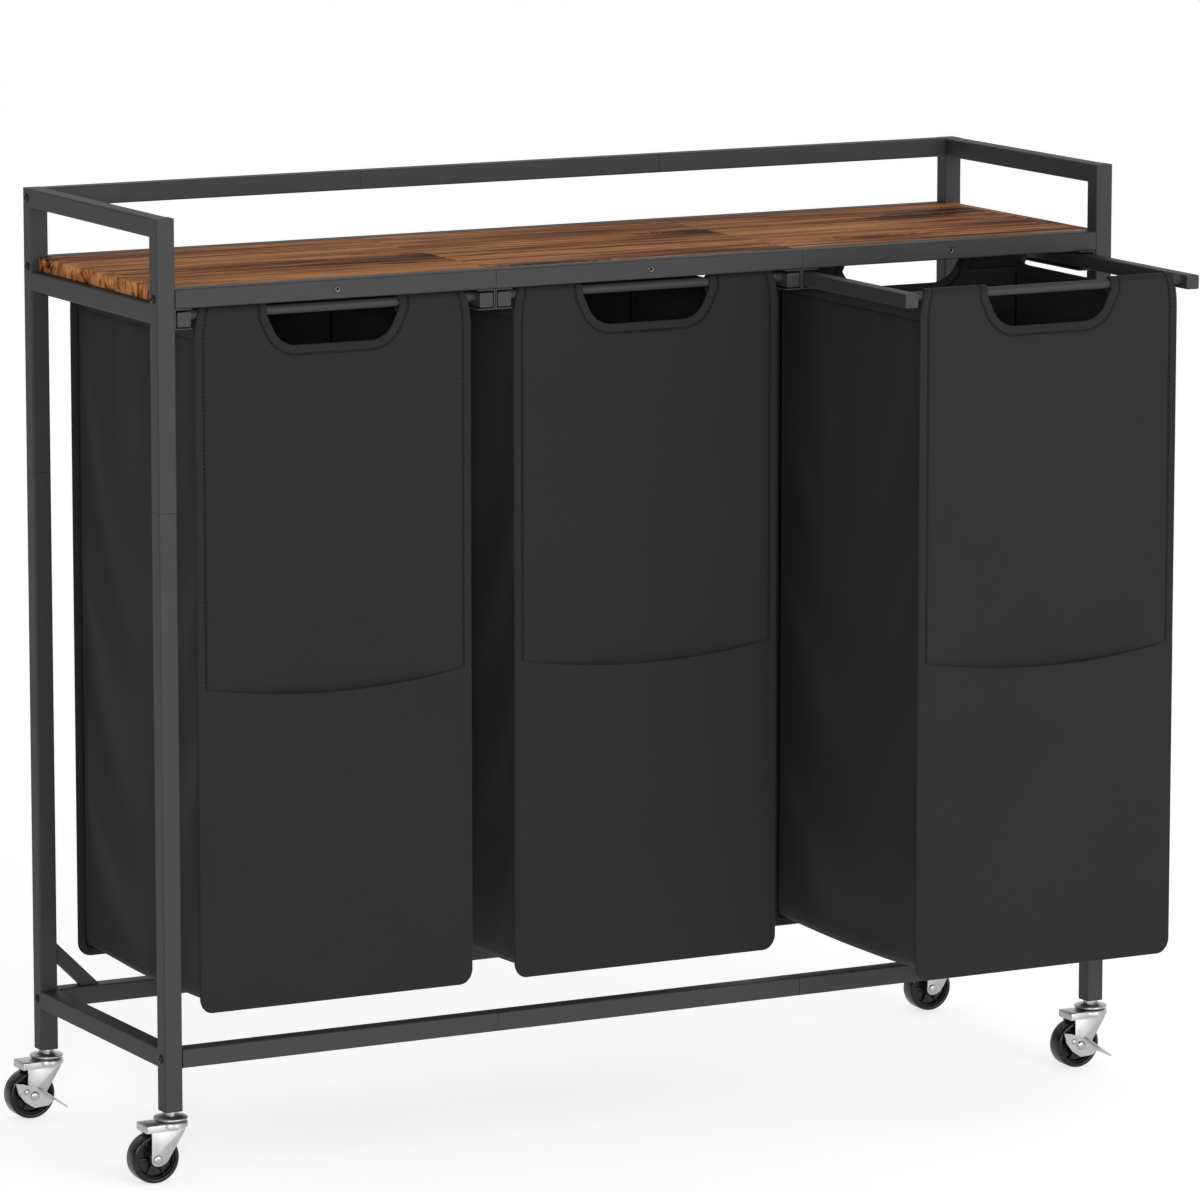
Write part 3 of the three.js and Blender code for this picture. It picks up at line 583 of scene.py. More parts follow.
# %% [markdown]
# ## Measure the bag
#
# The plain cloth solids say how wide, deep and tall a bag is, and the pocket solid shows where the
# side seams are. The rods that carry the bag lie just under its top edge.

# %% Measure the bag
CLOTH = 2.5 * MM
ROD_GAP = 0.3 * MM
ROD_RADIUS = 5.0 * MM
FOLD_RADIUS = ROD_RADIUS + ROD_GAP + CLOTH / 2


def measure_bag(number):
    low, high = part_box(f"bag_fabric_{number}")
    pocket_low, pocket_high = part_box(f"bag_pocket_{number}")
    reach = FOLD_RADIUS + CLOTH / 2
    return {
        "middle": (low.x + high.x) / 2,
        "half": (high.x - low.x) / 2,
        "bottom": low.z,
        "rod_z": high.z - reach,
        "front_rod": low.y + reach,
        "rear_rod": high.y - reach,
        "seam_half": (pocket_high.x - pocket_low.x) / 2,
        "floor": pocket_low.z,
        "pocket_top": pocket_high.z,
        "pocket_front": pocket_low.y,
    }


bag_size = measure_bag(1)
SEAM_INSET = bag_size["half"] - bag_size["seam_half"]
print("bag", {name: round(value / MM, 1) for name, value in bag_size.items()})

# %% [markdown]
# ## Cut the face of a bag
#
# The front and the rear of a bag are the same pattern piece: a tall panel with round bottom corners
# and a notch for the hand, whose two shoulders go up over the rod and down again inside. It is
# drawn flat, as a sewer would, from one face with its corners rounded. Rings inset from the edge
# make the rolled edge and the stitched groove, and a grid of cuts gives it enough points to hang.

# %% Cut the flat face
NOTCH_TOP, NOTCH_BOTTOM = 75.0 * MM, 60.0 * MM
NOTCH_DROP, REAR_NOTCH_DROP = 37.0 * MM, 30.0 * MM
NOTCH_CORNER, BOTTOM_CORNER = 17.0 * MM, 15.0 * MM
FLAP = 26.0 * MM
CUT_STEP, FOLD_STEP, CUT_SNAP = 9.0 * MM, 2.2 * MM, 0.15 * MM
FOLD_MARGIN = 8.0 * MM
# Each ring: its distance from the edge, the share of the thickness there, and the seam value,
# which the cloth finish turns into painted shade along the stitched groove.
RINGS = (
    (0.0, 0.30, 0.0),
    (0.5 * MM, 0.72, 0.0),
    (1.5 * MM, 1.00, 0.0),
    (SEAM_INSET - 2.0 * MM, 1.08, 0.0),
    (SEAM_INSET - 0.6 * MM, 0.55, 0.9),
    (SEAM_INSET, 0.35, 1.0),
    (SEAM_INSET + 0.6 * MM, 0.55, 0.9),
    (SEAM_INSET + 2.0 * MM, 1.00, 0.0),
)


def cut_face(size, notch_drop):
    rod, end = size["rod_z"], size["rod_z"] + math.pi * FOLD_RADIUS + FLAP
    notch_floor = rod - notch_drop
    half = [
        (size["half"], size["bottom"]),
        (size["half"], end),
        (NOTCH_TOP, end),
        (NOTCH_TOP, rod - ROD_RADIUS),
        (NOTCH_BOTTOM, notch_floor),
    ]
    outline = half + [(-x, z) for x, z in reversed(half)]
    bm = bmesh.new()
    corners = [bm.verts.new((x, 0.0, z)) for x, z in outline]
    bm.faces.new(corners)
    for picked, radius in (
        ([corners[0], corners[-1]], BOTTOM_CORNER),
        ([corners[4], corners[5]], NOTCH_CORNER),
    ):
        round_off(bm, picked, radius, 8, "VERTICES")
    face = bm.faces[:][0]
    for (near, _, _), (far, _, _) in zip(RINGS, RINGS[1:]):
        bmesh.ops.inset_region(
            bm, faces=[face], thickness=far - near, use_boundary=True, use_even_offset=True
        )
        face = max(bm.faces, key=lambda f: len(f.verts))
    loft, seam = bm.verts.layers.float.new("loft"), bm.verts.layers.float.new("seam")
    ring, seen = {v for v in bm.verts if v.is_boundary}, set()
    for _, share, dark in RINGS:
        for v in ring:
            v[loft], v[seam] = share, dark
        seen |= ring
        ring = {e.other_vert(v) for v in ring for e in v.link_edges} - seen
    return bm


def find_seam(bm):
    """The stitched ring as a list of points in order, before the cuts cross it."""
    seam = bm.verts.layers.float["seam"]
    start = next(v for v in bm.verts if v[seam] > 0.99)
    path, here, last = [], start, None
    while here is not start or not path:
        path.append(here.co.copy())
        turn = [
            e.other_vert(here) for e in here.link_edges
            if e.other_vert(here)[seam] > 0.99 and e.other_vert(here) is not last
        ]
        last, here = here, turn[0]
    return path


def grid_cuts(bm, size):
    end = size["rod_z"] + math.pi * FOLD_RADIUS + FLAP
    fold_start = size["rod_z"] - FOLD_MARGIN
    cuts = []
    columns = int(2 * size["half"] / CUT_STEP)
    for index in range(1, columns):
        cuts.append(((-size["half"] + 2 * size["half"] * index / columns, 0, 0), (1, 0, 0)))
    rows = int((fold_start - size["bottom"]) / CUT_STEP)
    for index in range(1, rows + 1):
        share = index / rows
        cuts.append(((0, 0, size["bottom"] + (fold_start - size["bottom"]) * share), (0, 0, 1)))
    folds = int((end - fold_start) / FOLD_STEP)
    for index in range(1, folds):
        cuts.append(((0, 0, fold_start + (end - fold_start) * index / folds), (0, 0, 1)))
    for point, direction in cuts:
        cut_along(bm, point, direction, CUT_SNAP)

# %% [markdown]
# ## Fold the face over its rod
#
# The flat piece is now bent the way it is sewn. Below the rod it hangs straight; above it, each
# point travels round the rod by its own length of cloth; past the far side it comes back down and
# closes against the inside of the panel. The cloth also has a soft, uneven hang: a slow wave that
# fades out at the seams, and small pulls under the notch where the hand takes hold.

# %% Fold the face
LAYER_GAP = 0.2 * MM
SHOULDER_TAPER = 8.0 * MM
SHOULDER_DROP = 30.0 * MM
SHOULDER_FROM, SHOULDER_CURVE = 110.0 * MM, 2.5
SEAM_FADE, FOOT_FADE, ROD_FADE, ROD_STIFF = 45.0 * MM, 50.0 * MM, 60.0 * MM, 18.0 * MM
WAVE, RIPPLE, STAND_OFF = 1.6 * MM, 0.7 * MM, 0.6 * MM
PULL_BELOW, PULL_HEIGHT, PULL_WIDTH = 22.0 * MM, 14.0 * MM, 70.0 * MM


def smooth_step(share):
    share = min(1.0, max(0.0, share))
    return share * share * (3 - 2 * share)


def hang_relief(x, s, size, seed):
    """How far the cloth stands off its plane, in metres, at a flat point."""
    inside = smooth_step((size["half"] - abs(x)) / SEAM_FADE)
    inside *= smooth_step((s - size["bottom"]) / FOOT_FADE)
    inside *= smooth_step((size["rod_z"] - ROD_STIFF - s) / ROD_FADE)
    wave = noise.noise(Vector((x * 6.0, s * 3.2, seed))) * WAVE
    under = s - (size["rod_z"] - NOTCH_DROP)
    pull = math.exp(-((under + PULL_BELOW) / PULL_HEIGHT) ** 2 - (x / PULL_WIDTH) ** 2)
    ripple = noise.noise(Vector((x * 26.0, s * 90.0, seed + 7.0))) * RIPPLE
    return inside * (wave + STAND_OFF) + pull * ripple


def fold_point(x, s, lift, size, rod_y, side, seed):
    """Where a flat point ends up; side is -1 for the front face and 1 for the rear one."""
    crown = size["rod_z"] + math.pi / 2 * FOLD_RADIUS
    up = 1.0 - abs(s - crown) / (SHOULDER_DROP + math.pi / 2 * FOLD_RADIUS)
    outer = smooth_step((abs(x) - SHOULDER_FROM) / (size["half"] - SHOULDER_FROM))
    x -= math.copysign(SHOULDER_TAPER * max(0.0, up) ** SHOULDER_CURVE * outer, x)
    over = s - size["rod_z"]
    down = over - math.pi * FOLD_RADIUS
    if over <= 0:
        out, height = FOLD_RADIUS + lift + hang_relief(x, s, size, seed), s
    elif down <= 0:
        angle = over / FOLD_RADIUS
        out = (FOLD_RADIUS + lift) * math.cos(angle)
        height = size["rod_z"] + (FOLD_RADIUS + lift) * math.sin(angle)
    else:
        inner = FOLD_RADIUS - CLOTH - LAYER_GAP
        out = -FOLD_RADIUS + (inner + FOLD_RADIUS) * smooth_step(down / (FLAP * 0.8))
        height = size["rod_z"] - down
    return Vector((size["middle"] + x, rod_y + side * out, height))


def lay_cloth_map(bm, across, down):
    """Writes the flat pattern, in metres, to the UV map that the weave reads."""
    layer = bm.loops.layers.uv.new("cloth")
    for face in bm.faces:
        for loop in face.loops:
            loop[layer].uv = (across(loop.vert.co), down(loop.vert.co))


def sew_face(size, rod_y, side, seed):
    bm = cut_face(size, NOTCH_DROP if side < 0 else REAR_NOTCH_DROP)
    seam_path = find_seam(bm)
    grid_cuts(bm, size)
    lay_cloth_map(bm, lambda p: p.x, lambda p: p.z)
    for v in bm.verts:
        v.co = fold_point(v.co.x, v.co.z, 0.0, size, rod_y, side, seed)
    face_outwards(bm)
    return bm, seam_path

# %% [markdown]
# ## Stitches
#
# A seam is a row of short stitches lying in its groove. Each one is a twenty-sided ball pulled
# long, because there are hundreds of them, and it is set along the ring that was kept before the
# cuts, folded with the same rule as the cloth.

# %% Set the stitches
STITCH_PITCH = 4.6 * MM
STITCH_HALF = Vector((1.75, 0.42, 0.36)) * MM
GROOVE_SHARE, STITCH_LIFT, LAST_TURN = 0.35, 0.2 * MM, 0.6


def set_stitches(bm, points):
    """points: centre, direction along the seam, and the way the cloth faces."""
    for centre, along, facing in points:
        across = facing.cross(along).normalized()
        turn = Matrix((along, across, facing)).transposed().to_4x4()
        stretch = Matrix.Diagonal((*STITCH_HALF, 1.0))
        bmesh.ops.create_icosphere(
            bm, subdivisions=1, radius=1.0, matrix=Matrix.Translation(centre) @ turn @ stretch
        )


def walk(path, pitch):
    """Evenly spaced points on a closed path of straight pieces, with their directions."""
    left = pitch / 2
    for first, second in zip(path, path[1:] + path[:1]):
        length = (second - first).length
        while left < length:
            yield first.lerp(second, left / length), (second - first) / length
            left += pitch
        left -= length


def face_stitches(size, rod_y, side, seed, path):
    lift = CLOTH / 2 * GROOVE_SHARE + STITCH_LIFT
    found = []
    last = size["rod_z"] + math.pi * LAST_TURN * FOLD_RADIUS
    for point, along in walk(path, STITCH_PITCH):
        if point.z > last:
            continue
        tip = point + along * MM
        centre = fold_point(point.x, point.z, lift, size, rod_y, side, seed)
        low = fold_point(point.x, point.z, 0.0, size, rod_y, side, seed)
        ahead = fold_point(tip.x, tip.z, lift, size, rod_y, side, seed)
        facing = (centre - low).normalized()
        direction = (ahead - centre).normalized()
        found.append((centre, direction, facing))
    return found

# %% [markdown]
# ## The gusset
#
# One long strip makes both sides and the bottom of the bag. Nothing holds its top edges between the
# two panels, so they dip, and the bottom hangs a little. The strip starts as a flat grid that is
# led along a U-shaped path, and then a short cloth simulation, pinned where it is sewn to the
# panels and along the stiff hem, lets it settle under its own weight.

# %% Sew the gusset
GUSSET_CLOTH = 1.6 * MM
GUSSET_CORNER = 12.0 * MM
RIM_UNDER_ROD, RIM_RISE, RIM_RUN = 14.0 * MM, 8.0 * MM, 26.0 * MM
HEM = 14.0 * MM
GUSSET_STEPS = (170, 34)
BILLOW, WALL_WAVE, FLOOR_WAVE, FLOOR_SAG = 2.0 * MM, 1.4 * MM, 2.0 * MM, 2.5 * MM
CREASE, CREASE_FROM_SEAM, CREASE_SPREAD = 0.8 * MM, 14.0 * MM, 9.0 * MM
RIM_FADE, FLOOR_FADE = 60.0 * MM, 40.0 * MM
SLACK, FURTHEST = 0.0015, 5.0 * MM
GRID_SNAP = 0.02 * MM


def u_path(a, half, floor):
    """A point on a U: a is the distance from the middle of the bottom, left is negative."""
    side, a = (-1 if a < 0 else 1), abs(a)
    flat = half - GUSSET_CORNER
    turn = math.pi / 2 * GUSSET_CORNER
    if a <= flat:
        return Vector((side * a, floor))
    if a <= flat + turn:
        angle = (a - flat) / GUSSET_CORNER
        return Vector((
            side * (flat + GUSSET_CORNER * math.sin(angle)),
            floor + GUSSET_CORNER * (1 - math.cos(angle)),
        ))
    return Vector((side * half, floor + GUSSET_CORNER + a - flat - turn))


def hang_cloth(piece, pins, slack, furthest, frames=24):
    """Lets a pinned sheet settle, keeps every point within reach, and leaves no modifier."""
    scene = bpy.context.scene
    group = piece.vertex_groups.new(name="sewn")
    group.add(pins, 1.0, "REPLACE")
    cloth = piece.modifiers.new("hang", "CLOTH")
    cloth.settings.quality = 6
    cloth.settings.mass = 0.12
    cloth.settings.tension_stiffness = 20.0
    cloth.settings.compression_stiffness = 20.0
    cloth.settings.bending_stiffness = 12.0
    cloth.settings.vertex_group_mass = "sewn"
    cloth.settings.shrink_min = -slack
    cloth.collision_settings.use_collision = False
    for number in range(1, frames + 1):
        scene.frame_set(number)
    settled = piece.evaluated_get(bpy.context.evaluated_depsgraph_get()).to_mesh()
    moved = 0.0
    places = [v.co.copy() for v in settled.vertices]
    piece.modifiers.remove(cloth)
    piece.vertex_groups.remove(group)
    for vertex, place in zip(piece.data.vertices, places):
        step = place - vertex.co
        if step.length > furthest:
            step *= furthest / step.length
        moved = max(moved, step.length)
        vertex.co += step
    scene.frame_set(1)
    return moved


def sew_gusset(size, number):
    half, floor = size["seam_half"], size["floor"]
    front = size["front_rod"] - FOLD_RADIUS + CLOTH / 2
    rear = size["rear_rod"] + FOLD_RADIUS - CLOTH / 2
    rim = size["rod_z"] - RIM_UNDER_ROD
    wall = rim - floor
    length = half - GUSSET_CORNER + math.pi / 2 * GUSSET_CORNER + wall - GUSSET_CORNER
    bm = bmesh.new()
    bmesh.ops.create_grid(bm, x_segments=GUSSET_STEPS[0], y_segments=GUSSET_STEPS[1], size=1.0)
    for x in (-1, 1):
        for back_off in (HEM, HEM - 1.2 * MM, HEM + 1.2 * MM, 0.6 * MM, 1.8 * MM):
            cut_along(bm, (x * (1 - back_off / length), 0, 0), (1, 0, 0), GRID_SNAP)
    loft, seam = bm.verts.layers.float.new("loft"), bm.verts.layers.float.new("seam")
    lay_cloth_map(bm, lambda p: p.y * (rear - front) / 2, lambda p: p.x * length)
    pins = []
    for v in bm.verts:
        along, depth = v.co.x, (v.co.y + 1) / 2
        edge = (1 - abs(along)) * length
        v[loft] = 1.0 if edge > 1.7 * MM else (0.75 if edge > 0.5 * MM else 0.35)
        at_hem = abs(edge - HEM) < 0.3 * MM
        # The hem's stitch line gets seam 1, which the cloth finish darkens as painted shade in its
        # groove.
        v[seam] = 1.0 if at_hem else 0.0
        v[loft] = 0.45 if at_hem else v[loft]
        near = min(depth, 1 - depth) * (rear - front)
        point = u_path(along * length, half, floor)
        high = smooth_step((point.y - floor) / wall)
        rise = RIM_RISE * (1 - min(1.0, near / RIM_RUN)) ** 2
        point.y += rise * smooth_step((point.y - rim + RIM_FADE) / RIM_FADE)
        billow = math.sin(math.pi * depth)
        wave = noise.noise(Vector((depth * 3.0, along * 4.5, number * 5.0)))
        crease = math.exp(-((near - CREASE_FROM_SEAM) / CREASE_SPREAD) ** 2) * (
            CREASE * noise.noise(Vector((near * 60, point.y * 14.0, number)))
        )
        on_wall = smooth_step((point.y - floor) / FLOOR_FADE)
        inward = (BILLOW * billow * high + WALL_WAVE * wave * billow + crease) * on_wall
        point.x -= math.copysign(inward, point.x)
        point.y += (1 - on_wall) * billow * (FLOOR_WAVE * wave - FLOOR_SAG)
        v.co = Vector((size["middle"] + point.x, front + (rear - front) * depth, point.y))
        if near < 0.5 * MM or edge < 4.0 * MM:
            pins.append(v.index)
    face_outwards(bm)
    name = f"bag_gusset_{number}"
    piece = finish_piece(bm, name, charcoal, f"bag_{number}")
    settled = hang_cloth(piece, pins, SLACK, FURTHEST)
    print(name, "settled by", round(settled / MM, 1), "mm;", len(piece.data.vertices), "points")
    return thicken(piece, GUSSET_CLOTH)

# %% [markdown]
# ## The pocket
#
# A shallow pocket covers the lower half of the front. It is cut to the same outline as the panel
# and bound into the same edge, so below its mouth the two read as one smooth face. Its top edge is
# only held at the seams, so it sags in the middle and stands off the panel, which throws a soft
# shadow on the cloth above it. It is a grid, shaped by two curves: the sagging mouth and the bulge.

# %% Sew the pocket
POCKET_CLOTH = 1.4 * MM
POCKET_SAG = 12.0 * MM
POCKET_STEPS = (60, 50)
MOUTH_CUTS, EDGE_CUTS = (0.5 * MM, 1.6 * MM), (0.7 * MM, 1.6 * MM, 3.0 * MM)
BOUND_EDGE, BOUND_DEPTH = 3.2 * MM, 1.2 * MM


def sew_pocket(size, number):
    half, seam_half = size["half"], size["seam_half"]
    low, top = size["bottom"], size["pocket_top"]
    skin = size["front_rod"] - FOLD_RADIUS - CLOTH / 2
    bulge = skin - size["pocket_front"] - POCKET_CLOTH / 2 - 0.4 * MM
    height = top - low
    bm = bmesh.new()
    bmesh.ops.create_grid(bm, x_segments=POCKET_STEPS[0], y_segments=POCKET_STEPS[1], size=0.5)
    side_cuts = EDGE_CUTS + (half - seam_half,)
    for axis, span, offsets in (
        ((0, 1, 0), height, MOUTH_CUTS),
        ((0, -1, 0), height, EDGE_CUTS),
        ((1, 0, 0), 2 * half, side_cuts),
        ((-1, 0, 0), 2 * half, side_cuts),
    ):
        for offset in offsets:
            cut_along(bm, Vector(axis) * (0.5 - offset / span), axis, GRID_SNAP)
    loft = bm.verts.layers.float.new("loft")
    bm.verts.layers.float.new("seam")
    lay_cloth_map(bm, lambda p: p.x * 2 * half, lambda p: p.y * height)
    for v in bm.verts:
        across, up = v.co.x * 2 * half / seam_half, v.co.y + 0.5
        mouth = (1 - up) * height
        v[loft] = 0.4 if mouth < 0.3 * MM else (0.75 if mouth < MM else 1.0)
        held = max(0.0, 1 - across * across)
        z = low + height * up - POCKET_SAG * held * up ** 2
        reach, foot = half, z - low
        if foot < BOTTOM_CORNER:
            reach -= BOTTOM_CORNER - math.sqrt(BOTTOM_CORNER ** 2 - (BOTTOM_CORNER - foot) ** 2)
        x = v.co.x * 2 * reach
        to_edge = min(reach - abs(x), foot)
        full = held ** 0.8 * (0.18 + 0.82 * up ** 1.6) * smooth_step(up / 0.08)
        wave = noise.noise(Vector((across * 1.8, up * 2.4, number * 3.0))) * 1.1 * MM
        fade = smooth_step(held / 0.3) * smooth_step(up / 0.1)
        out = max(0.0, bulge * full + (wave - 0.6 * MM) * fade * (1 - full))
        flush = BOUND_DEPTH * (1 - math.sqrt(smooth_step(to_edge / BOUND_EDGE)))
        rise = 0.35 * MM * smooth_step(held / 0.06) * smooth_step((to_edge - 2 * MM) / (9 * MM))
        y = skin + POCKET_CLOTH / 2 - 0.12 * MM + flush - rise - out
        v.co = Vector((size["middle"] + x, y, z))
    face_outwards(bm)
    name = f"bag_pocket_panel_{number}"
    piece = finish_piece(bm, name, charcoal, f"bag_{number}")
    return thicken(piece, POCKET_CLOTH)

# %% [markdown]
# ## Put the three bags together
#
# All three bags are made the same way, each from its own measurements, so the one that is drawn
# out needs no special case. Each has its own seed, so no two hang exactly alike.

# %% Make the bags
for number in BAGS:
    size = measure_bag(number)
    stitch_bm = bmesh.new()
    for word, rod_y, side in (("front", size["front_rod"], -1), ("rear", size["rear_rod"], 1)):
        seed = number * 11.0 + side
        bm, seam_path = sew_face(size, rod_y, side, seed)
        face = finish_piece(
            bm, f"bag_{word}_face_{number}", charcoal, f"bag_{number}"
        )
        thicken(face, CLOTH)
        if word == "front":
            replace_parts(face, f"bag_fabric_{number}")
        set_stitches(stitch_bm, face_stitches(size, rod_y, side, seed, seam_path))
    finish_piece(
        stitch_bm, f"bag_stitching_{number}", charcoal_thread, f"bag_{number}"
    )
    sew_gusset(size, number)
    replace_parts(sew_pocket(size, number), f"bag_pocket_{number}")
    print("bag", number, "sewn after", round(time.time() - started, 1), "s")

# %% [markdown]
# ## Bolts and screws
#
# The long rails are held by button-head bolts through the posts, and each board by a countersunk
# screw through the front rail. A head starts as a disc, is drawn up in rings to a low dome, and
# its middle is sunk as a socket whose ring is moved out to a hexagon.

# %% Set the bolts and screws
def socket_head(bm, centre, facing, rings, key):
    """rings: radius and height of each ring from the rim in; key: socket half-width and depth."""
    made = bmesh.ops.create_circle(bm, cap_ends=True, segments=24, radius=rings[0][0])
    turn = Vector(facing).to_track_quat("Z", "Y").to_matrix().to_4x4()
    points = set(made["verts"])
    face = next(iter(points)).link_faces[0]
    for radius, height in rings[1:] + ((key[0] * 1.08, rings[-1][1]), (key[0], rings[-1][1])):
        face = bmesh.ops.extrude_discrete_faces(bm, faces=[face])["faces"][0]
        for v in face.verts:
            flat = Vector((v.co.x, v.co.y, 0)).normalized()
            share = radius
            if radius <= key[0] * 1.08:
                step = math.radians(60)
                angle = (math.atan2(flat.y, flat.x) % step) - step / 2
                share = radius * math.cos(step / 2) / math.cos(angle)
            v.co = flat * share + Vector((0, 0, height))
        points |= set(face.verts)
    face = bmesh.ops.extrude_discrete_faces(bm, faces=[face])["faces"][0]
    for v in face.verts:
        v.co.z -= key[1]
        # The socket's walls and floor take the second finish, near-black, as painted shade in the
        # recess.
        for wall in v.link_faces:
            wall.material_index = 1
    points |= set(face.verts)
    bmesh.ops.transform(
        bm, matrix=Matrix.Translation(centre) @ turn, verts=list(points), space=Matrix()
    )


RAIL_HEIGHTS = {}
for line in ("top_rear", "shelf_rear", "shelf_front", "lower_rear", "lower_front"):
    low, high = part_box(f"rail_{line}_left")
    RAIL_HEIGHTS[line] = (low + high) / 2

BOLT_RINGS = ((4.6 * MM, 0.0), (4.5 * MM, 0.8 * MM), (3.9 * MM, 1.7 * MM), (3.0 * MM, 2.2 * MM))
BOLT_KEY = (1.9 * MM, 1.4 * MM)
for word, side in (("left", -1), ("right", 1)):
    low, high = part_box(f"side_frame_upper_{word}")
    x = low.x if side < 0 else high.x
    bm = bmesh.new()
    for line, middle_point in RAIL_HEIGHTS.items():
        centre = (x, middle_point.y, middle_point.z)
        socket_head(bm, Vector(centre), (side, 0, 0), BOLT_RINGS, BOLT_KEY)
    face_outwards(bm)
    heads = finish_piece(
        bm, f"side_bolts_{word}", bolt_black, "frame", crease=25
    )
    heads.data.materials.append(socket_shadow)
print("bolts at heights", [round(p.z / MM) for p in RAIL_HEIGHTS.values()])

for number in BAGS:
    low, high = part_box(f"shelf_screw_{number}")
    radius = (high.x - low.x) / 2
    bm = bmesh.new()
    rings = ((radius, 0.0), (radius, 0.3 * MM), (radius * 0.9, 0.5 * MM), (radius * 0.6, 0.35 * MM))
    centre = ((low.x + high.x) / 2, low.y + 0.3 * MM, (low.z + high.z) / 2)
    socket_head(bm, Vector(centre), (0, -1, 0), rings, (radius * 0.5, 2.2 * MM))
    face_outwards(bm)
    head = finish_piece(
        bm, f"board_screw_head_{number}", screw_steel, "frame", crease=25
    )
    head.data.materials.append(socket_shadow)
    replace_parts(head, f"shelf_screw_{number}")

# %% [markdown]
# ## Casters
#
# Each caster is a pressed-steel yoke that swivels under a fixed cup, with a moulded wheel on a
# riveted axle. The turned parts, which are the cup, the wheel and the rivet heads, are profiles
# spun round an axis, as they would be on a lathe. All four are the same, so each part is made
# round its own corner's swivel axis and axle, which come from the mechanical parts.

# %% Measure a caster and spin a profile
def measure_caster(corner):
    stem_low, stem_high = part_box(f"caster_stem_{corner}")
    fork_low, fork_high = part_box(f"caster_fork_{corner}")
    wheel_low, wheel_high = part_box(f"caster_wheel_{corner}")
    axle_low, axle_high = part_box(f"caster_axle_{corner}")
    return {
        "swivel": Vector(((stem_low.x + stem_high.x) / 2, (stem_low.y + stem_high.y) / 2, 0)),
        "axle": (wheel_low + wheel_high) / 2,
        "radius": (wheel_high.z - wheel_low.z) / 2,
        "half_width": (wheel_high.y - wheel_low.y) / 2,
        "fork_top": fork_high.z,
        "fork_reach": fork_low.x - (stem_low.x + stem_high.x) / 2,
        "axle_front": axle_low.y - (wheel_low.y + wheel_high.y) / 2,
        "axle_rear": axle_high.y - (wheel_low.y + wheel_high.y) / 2,
    }


def spin_profile(bm, profile, axis, steps=48):
    """Turns a chain of (radius, height) points once round an axis through the origin."""
    side = Vector((0, 1, 0)) if axis.z else Vector((1, 0, 0))
    chain = [bm.verts.new(side * radius + axis * height) for radius, height in profile]
    edges = [bm.edges.new(pair) for pair in zip(chain, chain[1:])]
    bmesh.ops.spin(
        bm, geom=chain + edges, cent=(0, 0, 0), axis=axis, angle=math.tau, steps=steps,
        use_merge=True, use_duplicate=False,
    )
    bmesh.ops.remove_doubles(bm, verts=bm.verts[:], dist=0.005 * MM)


UP, SIDEWAYS = Vector((0, 0, 1)), Vector((0, 1, 0))
print("caster measures", measure_caster("front_left"))

# %% [markdown]
# ### Cup and neck
#
# The cup is a shallow dome with a rolled rim that covers the ball race. A hexagonal neck joins it
# to the post; it is a six-sided circle drawn up, with its long edges left crisp.

# %% Make the cups
NECK_RADIUS = 8.0 * MM
NECK_BASE, NECK_TOP = 5.3 * MM, 9.8 * MM
CUP_PROFILE = tuple((r * MM, z * MM) for r, z in (
    (0.0, 0.3), (15.6, 0.3), (16.8, 0.5), (17.7, 1.2), (18.0, 2.0), (17.8, 2.8),
    (17.2, 3.4), (16.4, 3.6), (15.6, 3.5), (14.8, 3.8), (12.8, 4.6), (10.4, 5.2),
    (8.2, 5.5), (0.0, 5.6),
))


def make_cup(corner, size):
    bm = bmesh.new()
    spin_profile(bm, CUP_PROFILE, UP)
    neck = bmesh.ops.create_cone(
        bm, cap_ends=True, segments=6, radius1=NECK_RADIUS, radius2=NECK_RADIUS,
        depth=NECK_TOP - NECK_BASE,
        matrix=Matrix.Translation((0, 0, (NECK_TOP + NECK_BASE) / 2)),
    )
    round_off(bm, list({e for v in neck["verts"] for e in v.link_edges}), 0.5 * MM, 2)
    lift = Vector((0, 0, size["fork_top"]))
    bmesh.ops.translate(bm, verts=bm.verts[:], vec=size["swivel"] + lift)
    face_outwards(bm)
    piece = finish_piece(bm, f"caster_cup_{corner}", zinc, "frame", crease=35)
    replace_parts(piece, f"caster_stem_{corner}")

# %% [markdown]
# ### Yoke
#
# The yoke is one pressing: a round head under the cup, a short plate out over the wheel with its
# edges folded down, and two legs that narrow to the axle. A leg is one face with a rounded foot,
# given the thickness of the sheet and copied to the other side; the head is spun.

# %% Make the yokes
SHEET = 2.0 * MM
LEG_GAP = 11.6 * MM
HOOD_LAP, HOOD_DEPTH, HOOD_FRONT = 0.06 * MM, 8.0 * MM, 4.0 * MM
HEAD_PROFILE = tuple((r * MM, z * MM) for r, z in (
    (0.0, -0.4), (15.0, -0.4), (16.6, -0.7), (17.6, -1.5), (18.0, -2.7), (18.0, -6.1),
    (17.6, -6.5), (16.6, -6.5), (16.2, -6.1), (16.2, -3.3), (15.4, -2.5), (0.0, -2.4),
))
FOOT_RADIUS = 7.2 * MM


def fold_hood(bm, low, high, edge, sheet):
    """A box with no underside, its other edges rounded, and the thickness of the sheet inside."""
    low, high = Vector(low), Vector(high)
    stretch = Matrix.Diagonal((*(high - low), 1.0))
    box = bmesh.ops.create_cube(bm, size=1.0, matrix=Matrix.Translation((low + high) / 2) @ stretch)
    faces = {f for v in box["verts"] for f in v.link_faces}
    under = [f for f in faces if f.calc_center_median().z < low.z + 0.1 * MM]
    bmesh.ops.delete(bm, geom=under, context="FACES_ONLY")
    kept = {e for v in box["verts"] for e in v.link_edges if not e.is_boundary}
    rounded = round_off(bm, list(kept), edge, 3)
    shell = {f for v in rounded["verts"] if v.is_valid for f in v.link_faces}
    shell |= {f for f in faces if f.is_valid}
    bmesh.ops.recalc_face_normals(bm, faces=list(shell))
    bmesh.ops.solidify(bm, geom=list(shell), thickness=sheet)


